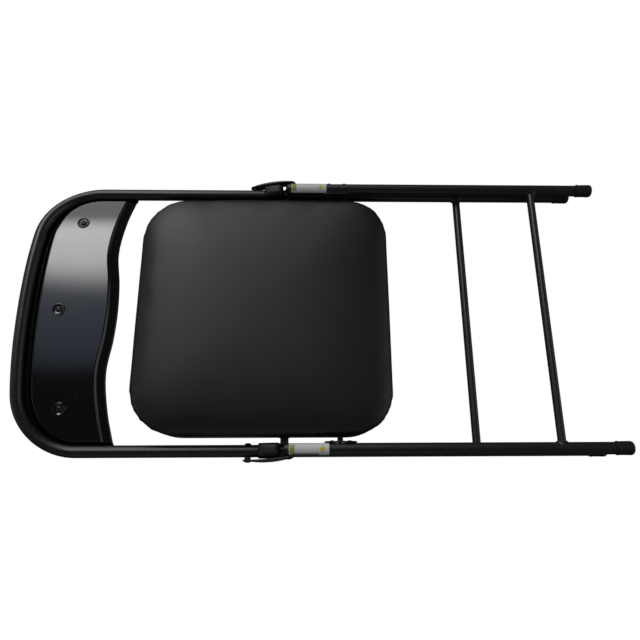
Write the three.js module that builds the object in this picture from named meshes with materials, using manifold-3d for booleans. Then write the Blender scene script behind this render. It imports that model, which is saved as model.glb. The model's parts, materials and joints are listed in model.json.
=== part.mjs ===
// A padded steel folding chair, folded flat.
//
// Units are millimetres. The chair lies on the underside of its seat: +Z is the rear of the
// folded chair (the vinyl side of the seat), -Y is the top of the back, +Y is the feet and
// +X is the sitter's left. The origin is under the middle of the whole chair.
//
// The seat carries two pivots on each side. The front frame turns about the first one, the
// rear legs about the second one, and a short link joins the top of each rear leg to the
// front frame. Turned open, the four feet stand on one plane and the seat is within a degree
// of level.

import * as THREE from 'three';
import { mergeVertices } from 'three/addons/utils/BufferGeometryUtils.js';
import Module from 'manifold-3d';

const wasm = await Module();
wasm.setup();

// ---------------------------------------------------------------- driving dimensions

const HALF_LENGTH = 478.6; // from the middle to the top of the back, and to the rear feet
const LEG_X = 221; // centre line of the side tubes
const TUBE_R = 9.5;
const TUBE_WALL = 1.2;
const TUBE_SIDES = 16;
const FRAME_Z = 12; // centre line of the front frame above the underside of the seat
const REAR_Z = FRAME_Z + 22.5; // centre line of the rear legs
const GAP = 0.3; // clearance left between neighbouring solids

// Pivots of the folding linkage, as places along Y and Z.
const SEAT_PIVOT = { y: -52, z: FRAME_Z };
const LEG_PIVOT = { y: 34, z: REAR_Z - 16.2 };
const LINK_PIVOT = { y: SEAT_PIVOT.y - 56, z: FRAME_Z };
const LINK_END = { y: SEAT_PIVOT.y + 7, z: REAR_Z };

// Front frame: an upside-down U whose top is bowed to the rear and slightly arched.
const CORNER_R = 94;
const ARCH_ANGLE = THREE.MathUtils.degToRad(5);
const BOW = 24.5;
const FRONT_FOOT_Y = 447.5;
const FOOT_R = 10.75;
const SLEEVE_BORE_R = TUBE_R + 0.45; // bore of the foot caps and the bumpers
const FOOT_LENGTH = 26;
const FOOT_TIP = 4; // closed end of the cap beyond the tube
const BRACE_R = 6.35;
const FRONT_BRACE_Y = 246.5;
const REAR_BRACE_Y = 371;
const LEG_TOP_OVERHANG = 5; // rear leg tube beyond its link pivot
const LABEL_LENGTH = 60;
const LABEL_REACH = THREE.MathUtils.degToRad(62); // to each side of the leg's rear line

// Back: a bowed sheet in the top of the frame, with a pad screwed to its front.
const PANEL_T = 1.5;
const PANEL_INSET = TUBE_R + 2 * GAP;
const PANEL_SIDE = LEG_X - PANEL_INSET;
const PANEL_SIDE_Y = -313; // lower end of the panel's side edges
const PANEL_LOW_EDGE = [[158, -325], [100, -330.5], [46, -323.5]]; // right half, mirrored to the left
const PANEL_LOW_MIDDLE_Y = -321.3;
const SCREW_HOLE_R = 3;
const FASTENER_FOOT = PANEL_T / 2 + GAP; // underside of the cups over the panel's middle surface
const PAD_HALF_WIDTH = 188;
const PAD_T = 15;
const PAD_TOP_Y = -447;
const PAD_CORNER = [74, 28]; // upper and lower corner radii
const PAD_LOW_Y = -340;
const SCREW_PLACES = [
  { name: 'left', x: 158, y: -396 },
  { name: 'centre', x: 0, y: -414 },
  { name: 'right', x: -158, y: -396 },
];

// Seat: a shallow steel tray that holds a padded cushion.
const TRAY = {
  halfWidth: 200,
  front: -292,
  rear: 117,
  frontCorner: 84,
  rearCorner: 74,
  height: 23,
  wall: 1.5,
};
const CUSHION_OVERHANG = 2.6;
const CUSHION_TOP_Z = FRAME_Z + 32;

// Link: a flat strap outside each pair of tubes.
const STRAP_T = 1.8;
const STRAP_R = 8;
const STRAP_X = LEG_X + 13.3; // inner face of the strap

// Bracket that carries the rear leg pivot, riveted to the inner side of the leg.
const BRACKET_T = 2;
const BRACKET_X = LEG_X - TUBE_R - GAP - BRACKET_T; // face towards the seat
const BRACKET_RIVET_STEP = 13.3;

// Moulded bumper behind the front frame, beside the parked top end of the rear leg.
const BUMPER = { top: LINK_PIVOT.y + 16, low: SEAT_PIVOT.y - 6.5, halfWidth: 11.6 };

const SIDES = [
  { name: 'left', sign: 1 },
  { name: 'right', sign: -1 },
];

// ---------------------------------------------------------------- materials

const paint = () => new THREE.MeshStandardMaterial({ color: 0x1c1c20, roughness: 0.35, metalness: 0.4 });
const gloss = () => new THREE.MeshStandardMaterial({ color: 0x18181b, roughness: 0.2, metalness: 0.3 });
const vinyl = () => new THREE.MeshStandardMaterial({ color: 0x2b2a2e, roughness: 0.6, metalness: 0 });
const plastic = () => new THREE.MeshStandardMaterial({ color: 0x242427, roughness: 0.55, metalness: 0 });
const steel = () => new THREE.MeshStandardMaterial({ color: 0x4a4a4e, roughness: 0.35, metalness: 0.9 });
const paper = () => new THREE.MeshStandardMaterial({ color: 0xf2f2ee, roughness: 0.5, metalness: 0 });

// ---------------------------------------------------------------- helpers

const chair = new THREE.Group();

function add(name, geometry, material) {
  const mesh = new THREE.Mesh(geometry, material);
  mesh.name = name;
  chair.add(mesh);
  return mesh;
}

// A closed three.js geometry as a manifold solid, and back.
function toSolid(geometry) {
  const bare = geometry.clone();
  bare.deleteAttribute('normal');
  bare.deleteAttribute('uv');
  const merged = mergeVertices(bare, 1e-4);
  return new wasm.Manifold(
    new wasm.Mesh({
      numProp: 3,
      vertProperties: new Float32Array(merged.attributes.position.array),
      triVerts: new Uint32Array(merged.index.array),
    }),
  );
}

function toGeometry(solid) {
  const mesh = solid.getMesh();
  const geometry = new THREE.BufferGeometry();
  const corners = new Float32Array(mesh.vertProperties);
  geometry.setAttribute('position', new THREE.BufferAttribute(corners, 3));
  geometry.setIndex(new THREE.BufferAttribute(new Uint32Array(mesh.triVerts), 1));
  return geometry;
}

function cut(geometry, tools) {
  return toGeometry(tools.reduce((solid, tool) => solid.subtract(toSolid(tool)), toSolid(geometry)));
}

// A curve that passes straight through a list of stations, evenly in its parameter, so that
// each step of a sweep lands on one station.
class StationCurve extends THREE.Curve {
  constructor(stations) {
    super();
    this.stations = stations;
  }

  getPoint(t) {
    const last = this.stations.length - 1;
    const place = THREE.MathUtils.clamp(t, 0, 1) * last;
    const index = Math.min(Math.floor(place), last - 1);
    return new THREE.Vector3().lerpVectors(this.stations[index], this.stations[index + 1], place - index);
  }

  getUtoTmapping(u) {
    return u;
  }
}

function circleShape(radius, sides) {
  const points = [];
  for (let i = 0; i < sides; i += 1) {
    const angle = (2 * Math.PI * (i + 0.5)) / sides;
    points.push(new THREE.Vector2(radius * Math.cos(angle), radius * Math.sin(angle)));
  }
  return points;
}

// A hollow tube with open ends through the stations.
function hollowTube(stations) {
  const shape = new THREE.Shape(circleShape(TUBE_R, TUBE_SIDES));
  shape.holes.push(new THREE.Path(circleShape(TUBE_R - TUBE_WALL, TUBE_SIDES)));
  return new THREE.ExtrudeGeometry(shape, {
    extrudePath: new StationCurve(stations),
    steps: stations.length - 1,
  });
}

// A cylinder along X from x0 to x1.
function barX(radius, x0, x1, y, z, sides = 16) {
  const geometry = new THREE.CylinderGeometry(radius, radius, Math.abs(x1 - x0), sides);
  geometry.rotateZ(Math.PI / 2);
  geometry.translate((x0 + x1) / 2, y, z);
  return geometry;
}

// A turned piece whose axis runs along X. The profile lists [distance from the chair's middle
// plane, radius] and is mirrored to the right side by the sign.
function turnedX(profile, sign, y, z, sides = 14) {
  const points = profile.map(([x, radius]) => new THREE.Vector2(radius, x));
  const geometry = new THREE.LatheGeometry(points, sides);
  geometry.rotateZ((-sign * Math.PI) / 2);
  geometry.translate(0, y, z);
  return geometry;
}

// A plate in the YZ plane from its outline of [y, z] points, x0 < x1.
function plateX(outline, x0, x1, holes = []) {
  const shape = new THREE.Shape(outline.map(([y, z]) => new THREE.Vector2(y, z)));
  holes.forEach(({ y, z, radius }) => {
    const ring = circleShape(radius, 14).map((p) => new THREE.Vector2(p.x + y, p.y + z));
    shape.holes.push(new THREE.Path(ring));
  });
  const geometry = new THREE.ExtrudeGeometry(shape, { depth: x1 - x0, bevelEnabled: false });
  // Shape x, y and depth become the row's Y, Z and X.
  const turn = new THREE.Matrix4().makeBasis(
    new THREE.Vector3(0, 1, 0),
    new THREE.Vector3(0, 0, 1),
    new THREE.Vector3(1, 0, 0),
  );
  geometry.applyMatrix4(turn);
  geometry.translate(x0, 0, 0);
  return geometry;
}

// The span of X on one side between two distances from the middle plane, in rising order.
function span(sign, near, far) {
  return sign > 0 ? [near, far] : [-far, -near];
}

// The outline round two circles of [y, z, radius].
function strapOutline(a, b, steps = 7) {
  const along = Math.atan2(b.z - a.z, b.y - a.y);
  const points = [];
  for (let i = 0; i <= steps; i += 1) {
    const angle = along + Math.PI / 2 + (Math.PI * i) / steps;
    points.push([a.y + a.radius * Math.cos(angle), a.z + a.radius * Math.sin(angle)]);
  }
  for (let i = 0; i <= steps; i += 1) {
    const angle = along - Math.PI / 2 + (Math.PI * i) / steps;
    points.push([b.y + b.radius * Math.cos(angle), b.z + b.radius * Math.sin(angle)]);
  }
  return points;
}

// ---------------------------------------------------------------- front frame

const CORNER_X = LEG_X - CORNER_R;
const ARCH_END_X = CORNER_X + CORNER_R * Math.sin(ARCH_ANGLE);
const ARCH_R = ARCH_END_X / Math.sin(ARCH_ANGLE);
const ARCH_RISE = ARCH_R * (1 - Math.cos(ARCH_ANGLE));
const CORNER_Y = -HALF_LENGTH + TUBE_R + ARCH_RISE + CORNER_R * Math.cos(ARCH_ANGLE);

// Height of the bowed top, at a distance x from the middle. It is flattest in the middle.
function bowZ(x) {
  return FRAME_Z + BOW * (1 - Math.abs(x / LEG_X) ** 3);
}

// The top of the frame in plan, from the left leg round to the right leg, drawn inside the
// tube's centre line by the inset.
function topLoop(inset, cornerSteps = 8, archSteps = 6) {
  const points = [];
  for (let i = 0; i <= cornerSteps; i += 1) {
    const angle = ((Math.PI / 2 - ARCH_ANGLE) * i) / cornerSteps;
    const radius = CORNER_R - inset;
    points.push([CORNER_X + radius * Math.cos(angle), CORNER_Y - radius * Math.sin(angle)]);
  }
  const centreY = -HALF_LENGTH + TUBE_R + ARCH_R;
  for (let i = 1; i < archSteps; i += 1) {
    const angle = ARCH_ANGLE * (1 - (2 * i) / archSteps);
    const radius = ARCH_R - inset;
    points.push([radius * Math.sin(angle), centreY - radius * Math.cos(angle)]);
  }
  for (let i = cornerSteps; i >= 0; i -= 1) {
    const [x, y] = points[i];
    points.push([-x, y]);
  }
  return points;
}

function frontFrameTube() {
  const footY = FRONT_FOOT_Y - FOOT_TIP;
  const stations = [new THREE.Vector3(LEG_X, footY, FRAME_Z)];
  topLoop(0).forEach(([x, y]) => stations.push(new THREE.Vector3(x, y, bowZ(x))));
  stations.push(new THREE.Vector3(-LEG_X, footY, FRAME_Z));
  const holes = SIDES.flatMap(({ sign }) => {
    const [x0, x1] = span(sign, LEG_X - 2 * TUBE_R, LEG_X + 2 * TUBE_R);
    return [
      barX(4.5, x0, x1, SEAT_PIVOT.y, SEAT_PIVOT.z),
      barX(3.6, x0, x1, LINK_PIVOT.y, LINK_PIVOT.z),
    ];
  });
  return cut(hollowTube(stations), holes);
}

// A sheet that follows the bow of the frame, as a solid slab between two heights above the bow.
function bowedSlab(halfWidth, y0, y1, below, above, steps = 20) {
  const upper = [];
  const lower = [];
  for (let i = 0; i <= steps; i += 1) {
    const x = halfWidth * ((2 * i) / steps - 1);
    upper.push(new THREE.Vector2(x, bowZ(x) + above));
    lower.push(new THREE.Vector2(x, bowZ(x) + below));
  }
  const shape = new THREE.Shape([...lower, ...upper.reverse()]);
  const geometry = new THREE.ExtrudeGeometry(shape, { depth: y1 - y0, bevelEnabled: false });
  geometry.rotateX(Math.PI / 2);
  geometry.translate(0, y1, 0);
  return geometry;
}

function flatSolid(outline, z0, z1) {
  const shape = new THREE.Shape(outline.map(([x, y]) => new THREE.Vector2(x, y)));
  const geometry = new THREE.ExtrudeGeometry(shape, { depth: z1 - z0, bevelEnabled: false });
  geometry.translate(0, 0, z0);
  return geometry;
}

function backPanel() {
  const right = [[PANEL_SIDE, PANEL_SIDE_Y], ...PANEL_LOW_EDGE];
  const left = right.map(([x, y]) => [-x, y]);
  const places = [...left, [0, PANEL_LOW_MIDDLE_Y], ...right.reverse()];
  const lowerEdge = new THREE.SplineCurve(places.map(([x, y]) => new THREE.Vector2(x, y))).getPoints(28);
  const outline = [...topLoop(PANEL_INSET), ...lowerEdge.map((p) => [p.x, p.y])];
  const half = PANEL_T / 2;
  const sheet = toSolid(bowedSlab(PANEL_SIDE + 1, -HALF_LENGTH, PANEL_SIDE_Y + 10, -half, half));
  const trimmed = sheet.intersect(toSolid(flatSolid(outline, 0, 60)));
  const holes = SCREW_PLACES.map(({ x, y }) => {
    const hole = new THREE.CylinderGeometry(SCREW_HOLE_R, SCREW_HOLE_R, 80, 12);
    hole.rotateX(Math.PI / 2);
    hole.translate(x, y, FRAME_Z);
    return hole;
  });
  return toGeometry(holes.reduce((solid, hole) => solid.subtract(toSolid(hole)), trimmed));
}

function backPad() {
  const below = -PANEL_T / 2 - GAP - PAD_T;
  const slab = toSolid(bowedSlab(PAD_HALF_WIDTH, PAD_TOP_Y, PAD_LOW_Y, below, -PANEL_T / 2 - GAP, 16));
  const outline = roundedRect(PAD_HALF_WIDTH, PAD_TOP_Y, PAD_LOW_Y, ...PAD_CORNER, 6);
  return toGeometry(slab.intersect(toSolid(flatSolid(outline, -5, 60))));
}

// The slope of the bowed panel at x, as an angle about Y.
function bowTilt(x) {
  return Math.atan((3 * BOW * x * Math.abs(x)) / LEG_X ** 3);
}

// A turned piece that stands square on the rear face of the bowed panel.
function turnedOnPanel(profile, place, sides) {
  const geometry = new THREE.LatheGeometry(profile.map(([r, h]) => new THREE.Vector2(r, h)), sides);
  geometry.rotateX(Math.PI / 2);
  geometry.rotateY(bowTilt(place.x));
  geometry.translate(place.x, place.y, bowZ(place.x));
  return geometry;
}

function screwCup() {
  const foot = FASTENER_FOOT;
  return [[5, foot], [10.8, foot], [10.8, foot + 0.8], [9.4, foot + 2.4], [7.6, foot + 1.4], [5, foot + 1],
    [5, foot]];
}

function backScrew() {
  const seat = FASTENER_FOOT + 1 + GAP;
  return [[0, -PANEL_T / 2], [2.4, -PANEL_T / 2], [2.4, seat], [4.9, seat], [4.7, seat + 1.1],
    [3, seat + 2.1], [0, seat + 2.5]];
}

// A sleeve round the tube with a rounded closed end towards +Y.
function footCap(y0, x, z) {
  const profile = [
    [0, FOOT_LENGTH - FOOT_TIP + GAP],
    [SLEEVE_BORE_R, FOOT_LENGTH - FOOT_TIP + GAP],
    [SLEEVE_BORE_R, 0],
    [FOOT_R, 0],
    [FOOT_R, FOOT_LENGTH - 2.4],
    [FOOT_R - 0.9, FOOT_LENGTH - 0.7],
    [FOOT_R - 2.6, FOOT_LENGTH],
    [0, FOOT_LENGTH],
  ].map(([r, h]) => new THREE.Vector2(r, h));
  const geometry = new THREE.LatheGeometry(profile, 20);
  geometry.translate(x, y0, z);
  return geometry;
}

// A saddle that sits on the rear half of the front tube, its top sloping with the folded link.
function bumper(sign) {
  const { top, low, halfWidth } = BUMPER;
  const outline = [
    [top, FRAME_Z + 3],
    [low, FRAME_Z + 3],
    [low, FRAME_Z + 22],
    [low - 4, FRAME_Z + 26],
    [low - 9, FRAME_Z + 27],
    [top + 10, FRAME_Z + 22],
    [top + 3, FRAME_Z + 18.5],
    [top, FRAME_Z + 15],
  ];
  const [x0, x1] = span(sign, LEG_X - halfWidth, LEG_X + halfWidth);
  const bore = new THREE.CylinderGeometry(SLEEVE_BORE_R, SLEEVE_BORE_R, 80, TUBE_SIDES * 2);
  bore.translate(sign * LEG_X, (top + low) / 2, FRAME_Z);
  return cut(plateX(outline, x0, x1), [bore]);
}

function linkRivet(sign) {
  const inner = LEG_X - TUBE_R - GAP;
  const outer = LEG_X + TUBE_R + GAP;
  const profile = [
    [inner - 2.4, 0], [inner - 2, 3.4], [inner, 5.4], [inner, 3], [outer, 3], [outer, 5],
    [STRAP_X - GAP, 5], [STRAP_X - GAP, 3], [STRAP_X + STRAP_T + GAP, 3], [STRAP_X + STRAP_T + GAP, 6],
    [STRAP_X + STRAP_T + 1.5, 5], [STRAP_X + STRAP_T + 2.4, 2.4], [STRAP_X + STRAP_T + 2.6, 0],
  ];
  return turnedX(profile, sign, LINK_PIVOT.y, LINK_PIVOT.z);
}

function buildFrontFrame() {
  add('front_frame_tube', frontFrameTube(), paint());
  add('back_panel', backPanel(), gloss());
  add('back_pad', backPad(), vinyl());
  SCREW_PLACES.forEach((place) => {
    add(`screw_cup_${place.name}`, turnedOnPanel(screwCup(), place, 18), plastic());
    add(`back_screw_${place.name}`, turnedOnPanel(backScrew(), place, 12), steel());
  });
  const reach = LEG_X - TUBE_R - GAP;
  add('front_brace', barX(BRACE_R, -reach, reach, FRONT_BRACE_Y, FRAME_Z), paint());
  SIDES.forEach(({ name, sign }) => {
    add(`front_foot_${name}`, footCap(FRONT_FOOT_Y - FOOT_LENGTH, sign * LEG_X, FRAME_Z), plastic());
    add(`link_rivet_${name}`, linkRivet(sign), steel());
    add(`bumper_${name}`, bumper(sign), plastic());
  });
}

// ---------------------------------------------------------------- rear legs

function rearLegTube(sign) {
  const x = sign * LEG_X;
  const topY = LINK_END.y - LEG_TOP_OVERHANG;
  const stations = [topY, HALF_LENGTH - FOOT_TIP].map((y) => new THREE.Vector3(x, y, REAR_Z));
  const [x0, x1] = span(sign, LEG_X - 2 * TUBE_R, LEG_X + 2 * TUBE_R);
  const holes = [-1, 1].map((end) => barX(2.7, x0, x1, LEG_PIVOT.y + end * BRACKET_RIVET_STEP, REAR_Z, 12));
  return cut(hollowTube(stations), holes);
}

// A domed plug in the upper end of a rear leg.
function legPlug(sign) {
  const top = LINK_END.y - LEG_TOP_OVERHANG;
  const profile = [[0, 12], [7.7, 12], [7.7, -GAP], [9, -GAP], [8.2, -2.2], [5, -3.4], [0, -3.8]];
  const points = profile.reverse().map(([r, h]) => new THREE.Vector2(r, h));
  const geometry = new THREE.LatheGeometry(points, 16);
  geometry.translate(sign * LEG_X, top, REAR_Z);
  return geometry;
}

// The bracket is a rounded triangle: a long edge on the leg and a boss round the pivot.
function legBracket(sign) {
  const corners = [
    { y: LEG_PIVOT.y + 18, z: REAR_Z, radius: 7, from: -60, to: 90 },
    { y: LEG_PIVOT.y - 18, z: REAR_Z, radius: 7, from: 90, to: 240 },
    { y: LEG_PIVOT.y, z: LEG_PIVOT.z, radius: 8, from: 240, to: 300 },
  ];
  const outline = corners.flatMap(({ y, z, radius, from, to }) => {
    const steps = 5;
    return Array.from({ length: steps + 1 }, (_, i) => {
      const angle = THREE.MathUtils.degToRad(from + ((to - from) * i) / steps);
      return [y + radius * Math.cos(angle), z + radius * Math.sin(angle)];
    });
  });
  const holes = [
    { y: LEG_PIVOT.y, z: LEG_PIVOT.z, radius: 3.9 },
    { y: LEG_PIVOT.y - BRACKET_RIVET_STEP, z: REAR_Z, radius: 2.7 },
    { y: LEG_PIVOT.y + BRACKET_RIVET_STEP, z: REAR_Z, radius: 2.7 },
  ];
  const [x0, x1] = span(sign, BRACKET_X, BRACKET_X + BRACKET_T);
  return plateX(outline, x0, x1, holes);
}

function bracketRivet(sign, y) {
  const inner = BRACKET_X - GAP;
  const outer = LEG_X + TUBE_R + GAP;
  const profile = [
    [inner - 1.4, 0], [inner - 1, 2.6], [inner, 4], [inner, 2.1], [outer, 2.1], [outer, 4],
    [outer + 1.1, 2.8], [outer + 1.7, 0],
  ];
  return turnedX(profile, sign, y, REAR_Z, 12);
}

// A blank sticker wrapped over the rear side of the leg, near its top.
function blankLabel(sign) {
  const inner = TUBE_R + GAP;
  const outer = inner + 0.35;
  const arc = (radius, start, end) => Array.from({ length: 9 }, (_, i) => {
    const angle = start + ((end - start) * i) / 8;
    return new THREE.Vector2(radius * Math.sin(angle), radius * Math.cos(angle));
  });
  const outerArc = arc(outer, LABEL_REACH, -LABEL_REACH);
  const shape = new THREE.Shape([...outerArc, ...arc(inner, -LABEL_REACH, LABEL_REACH)]);
  const geometry = new THREE.ExtrudeGeometry(shape, { depth: LABEL_LENGTH, bevelEnabled: false });
  geometry.rotateX(Math.PI / 2);
  geometry.translate(sign * LEG_X, LINK_END.y + LABEL_LENGTH + 1, REAR_Z);
  return geometry;
}

function buildRearLegs() {
  const reach = LEG_X - TUBE_R - GAP;
  add('rear_brace', barX(BRACE_R, -reach, reach, REAR_BRACE_Y, REAR_Z), paint());
  SIDES.forEach(({ name, sign }) => {
    add(`rear_leg_${name}`, rearLegTube(sign), paint());
    add(`leg_plug_${name}`, legPlug(sign), plastic());
    add(`rear_foot_${name}`, footCap(HALF_LENGTH - FOOT_LENGTH, sign * LEG_X, REAR_Z), plastic());
    add(`leg_bracket_${name}`, legBracket(sign), paint());
    const rivets = { upper: LEG_PIVOT.y - BRACKET_RIVET_STEP, lower: LEG_PIVOT.y + BRACKET_RIVET_STEP };
    Object.entries(rivets).forEach(([end, y]) => {
      add(`bracket_rivet_${name}_${end}`, bracketRivet(sign, y), steel());
    });
    add(`label_${name}`, blankLabel(sign), paper());
  });
}

// ---------------------------------------------------------------- links

function hingeLink(sign) {
  const ends = [LINK_PIVOT, LINK_END].map((pivot) => ({ ...pivot, radius: STRAP_R }));
  const holes = [LINK_PIVOT, LINK_END].map((pivot) => ({ ...pivot, radius: 3.7 }));
  const [x0, x1] = span(sign, STRAP_X, STRAP_X + STRAP_T);
  return plateX(strapOutline(ends[0], ends[1]), x0, x1, holes);
}

// The rivet at the moving end of the link. Its shoulder stops just short of the rear leg.
function linkEndRivet(sign) {
  const inner = LEG_X + TUBE_R + GAP;
  const profile = [
    [inner, 0], [inner, 5], [STRAP_X - GAP, 5], [STRAP_X - GAP, 3], [STRAP_X + STRAP_T + GAP, 3],
    [STRAP_X + STRAP_T + GAP, 6], [STRAP_X + STRAP_T + 1.5, 5], [STRAP_X + STRAP_T + 2.4, 2.4],
    [STRAP_X + STRAP_T + 2.6, 0],
  ];
  return turnedX(profile, sign, LINK_END.y, LINK_END.z);
}

function buildLinks() {
  SIDES.forEach(({ name, sign }) => {
    add(`hinge_link_${name}`, hingeLink(sign), paint());
    add(`link_end_rivet_${name}`, linkEndRivet(sign), steel());
  });
}

// ---------------------------------------------------------------- seat

// A rectangle with its corners rounded, by one radius at y0 and another at y1.
function roundedRect(halfWidth, y0, y1, radius0, radius1, steps) {
  const corners = [
    [halfWidth - radius1, y1 - radius1, radius1, 0],
    [-halfWidth + radius1, y1 - radius1, radius1, 90],
    [-halfWidth + radius0, y0 + radius0, radius0, 180],
    [halfWidth - radius0, y0 + radius0, radius0, 270],
  ];
  return corners.flatMap(([x, y, radius, start]) => Array.from({ length: steps + 1 }, (_, i) => {
    const angle = THREE.MathUtils.degToRad(start + (90 * i) / steps);
    return [x + radius * Math.cos(angle), y + radius * Math.sin(angle)];
  }));
}

function trayOutline(grow) {
  const { halfWidth, front, rear, frontCorner, rearCorner } = TRAY;
  const radii = [frontCorner + grow, rearCorner + grow];
  return roundedRect(halfWidth + grow, front - grow, rear + grow, ...radii, 8);
}

function seatPan() {
  const outside = flatSolid(trayOutline(0), 0, TRAY.height);
  const inside = flatSolid(trayOutline(-TRAY.wall), TRAY.wall, TRAY.height + 10);
  return cut(outside, [inside]);
}

function seatCushion() {
  const lip = TRAY.height + GAP;
  const core = toSolid(flatSolid(trayOutline(-TRAY.wall - GAP), TRAY.wall + GAP, lip + 1));
  const crown = toSolid(flatSolid(trayOutline(CUSHION_OVERHANG), lip, CUSHION_TOP_Z));
  return toGeometry(core.add(crown));
}

// The stud on the tray that the front frame turns on: a thick collar and a shank through the tube.
function seatPivotStud(sign) {
  const inner = TRAY.halfWidth + GAP;
  const collarEnd = LEG_X - TUBE_R - GAP;
  const outer = LEG_X + TUBE_R + GAP;
  const profile = [
    [inner, 0], [inner, 6.4], [collarEnd, 6.4], [collarEnd, 3.9], [outer, 3.9], [outer, 5.6],
    [outer + 1, 5], [outer + 1.9, 2.6], [outer + 2.2, 0],
  ];
  return turnedX(profile, sign, SEAT_PIVOT.y, SEAT_PIVOT.z);
}

function legPivotStud(sign) {
  const inner = TRAY.halfWidth + GAP;
  const collarEnd = BRACKET_X - GAP;
  const profile = [
    [inner, 0], [inner, 4.4], [collarEnd, 4.4], [collarEnd, 3.3], [LEG_X - TUBE_R - GAP, 3.3],
    [LEG_X - TUBE_R - GAP, 0],
  ];
  return turnedX(profile, sign, LEG_PIVOT.y, LEG_PIVOT.z);
}

function buildSeat() {
  add('seat_pan', seatPan(), gloss());
  add('seat_cushion', seatCushion(), vinyl());
  SIDES.forEach(({ name, sign }) => {
    add(`seat_pivot_stud_${name}`, seatPivotStud(sign), steel());
    add(`leg_pivot_stud_${name}`, legPivotStud(sign), steel());
  });
}

buildSeat();
buildFrontFrame();
buildRearLegs();
buildLinks();

export default chair;
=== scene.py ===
"""Looks of a padded steel folding chair that lies folded on the underside of its seat.

Lengths are in millimetres until a mesh is made, which is in metres. +X is the sitter's left,
-Y the top of the back, +Y the feet and +Z the rear side of the folded chair, which is the
vinyl side of the seat.
"""

import json
import logging
import math
from dataclasses import dataclass, field
from enum import Enum

import bmesh
import bpy
import numpy as np
from mathutils import Matrix, Vector

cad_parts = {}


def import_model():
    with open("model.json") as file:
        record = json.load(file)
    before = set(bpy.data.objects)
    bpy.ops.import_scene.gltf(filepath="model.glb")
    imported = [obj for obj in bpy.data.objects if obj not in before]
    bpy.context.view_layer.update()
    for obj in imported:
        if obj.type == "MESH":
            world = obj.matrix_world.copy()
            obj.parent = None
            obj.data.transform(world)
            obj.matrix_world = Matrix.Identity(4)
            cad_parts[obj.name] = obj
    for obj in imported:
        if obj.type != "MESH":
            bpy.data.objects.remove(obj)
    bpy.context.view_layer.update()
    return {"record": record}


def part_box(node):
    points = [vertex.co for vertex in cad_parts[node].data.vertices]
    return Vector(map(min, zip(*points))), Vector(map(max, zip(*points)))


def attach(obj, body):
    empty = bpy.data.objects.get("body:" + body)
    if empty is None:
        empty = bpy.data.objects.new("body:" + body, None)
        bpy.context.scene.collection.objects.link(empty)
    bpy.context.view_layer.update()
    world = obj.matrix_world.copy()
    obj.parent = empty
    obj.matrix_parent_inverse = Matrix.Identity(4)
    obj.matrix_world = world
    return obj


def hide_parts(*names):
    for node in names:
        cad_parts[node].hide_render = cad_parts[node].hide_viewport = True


Array = np.ndarray
Colour = tuple[float, float, float]
Point = tuple[float, float, float]

MM = 0.001
log = logging.getLogger("chair")


class Side(Enum):
    """A side of the chair, as the sign of X."""

    LEFT = 1
    RIGHT = -1

    @property
    def word(self) -> str:
        """The side's name as it ends the CAD nodes' names."""
        return self.name.lower()


# ------------------------------------------------------------------ surfaces


def unit(vectors: Array) -> Array:
    """Each vector of the last axis divided by its length."""
    return vectors / np.maximum(np.linalg.norm(vectors, axis=-1, keepdims=True), 1e-12)


def ease(values: Array) -> Array:
    """Goes from 0 to 1 with level ends: three times the square less twice the cube."""
    held = np.clip(values, 0.0, 1.0)
    return held * held * (3.0 - 2.0 * held)


def soften(profile: list[tuple[float, float]], reach: float, steps: int = 4) -> Array:
    """Rounds the inner corners of an open profile.

    Each corner gives way to a quadratic Bezier arc that starts and ends at most the reach
    away from it, along the two edges that meet there.

    Args:
        profile: the profile's corners.
        reach: the longest cut along an edge.
        steps: points in each arc.

    Returns:
        The rounded profile, one row to a point.
    """
    p = np.array(profile, float)
    before, corner, after = p[:-2], p[1:-1], p[2:]
    back, on = before - corner, after - corner
    back_cut = np.minimum(reach / np.maximum(np.linalg.norm(back, axis=1), 1e-9), 0.45)[:, None]
    on_cut = np.minimum(reach / np.maximum(np.linalg.norm(on, axis=1), 1e-9), 0.45)[:, None]
    t = np.linspace(0.0, 1.0, steps)[None, :, None]
    start, end = (corner + back * back_cut)[:, None], (corner + on * on_cut)[:, None]
    arcs = (1 - t) ** 2 * start + 2 * t * (1 - t) * corner[:, None] + t**2 * end
    return np.vstack([p[:1], arcs.reshape(-1, 2), p[-1:]])


def ring_angles(sides: int) -> Array:
    """Angles spaced evenly round a circle."""
    return np.linspace(0.0, 2.0 * math.pi, sides, endpoint=False)


def sweep(path: Array, radius: Array | float, sides: int = 32) -> Array:
    """Rings of a round tube along a path.

    A ring is its path point plus the radius times the cosine and the sine of an angle along
    the two directions that are square to the path.

    Args:
        path: points of the centre line, which never runs along Z.
        radius: one radius, or one for each point.
        sides: points in each ring.

    Returns:
        Points in rows of one ring each.
    """
    along = unit(np.gradient(path, axis=0))
    across = unit(np.cross(along, [0.0, 0.0, 1.0]))
    lift = np.cross(across, along)
    a = ring_angles(sides)[None, :, None]
    rings = np.cos(a) * across[:, None] + np.sin(a) * lift[:, None]
    return path[:, None] + np.broadcast_to(radius, len(path))[:, None, None] * rings


def closed_ends(rings: Array) -> Array:
    """The rings with a first and a last row that shrink to the middle of the end rings."""
    ends = [np.broadcast_to(r.mean(axis=0), r.shape)[None] for r in (rings[0], rings[-1])]
    return np.concatenate([ends[0], rings, ends[1]])


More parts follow.
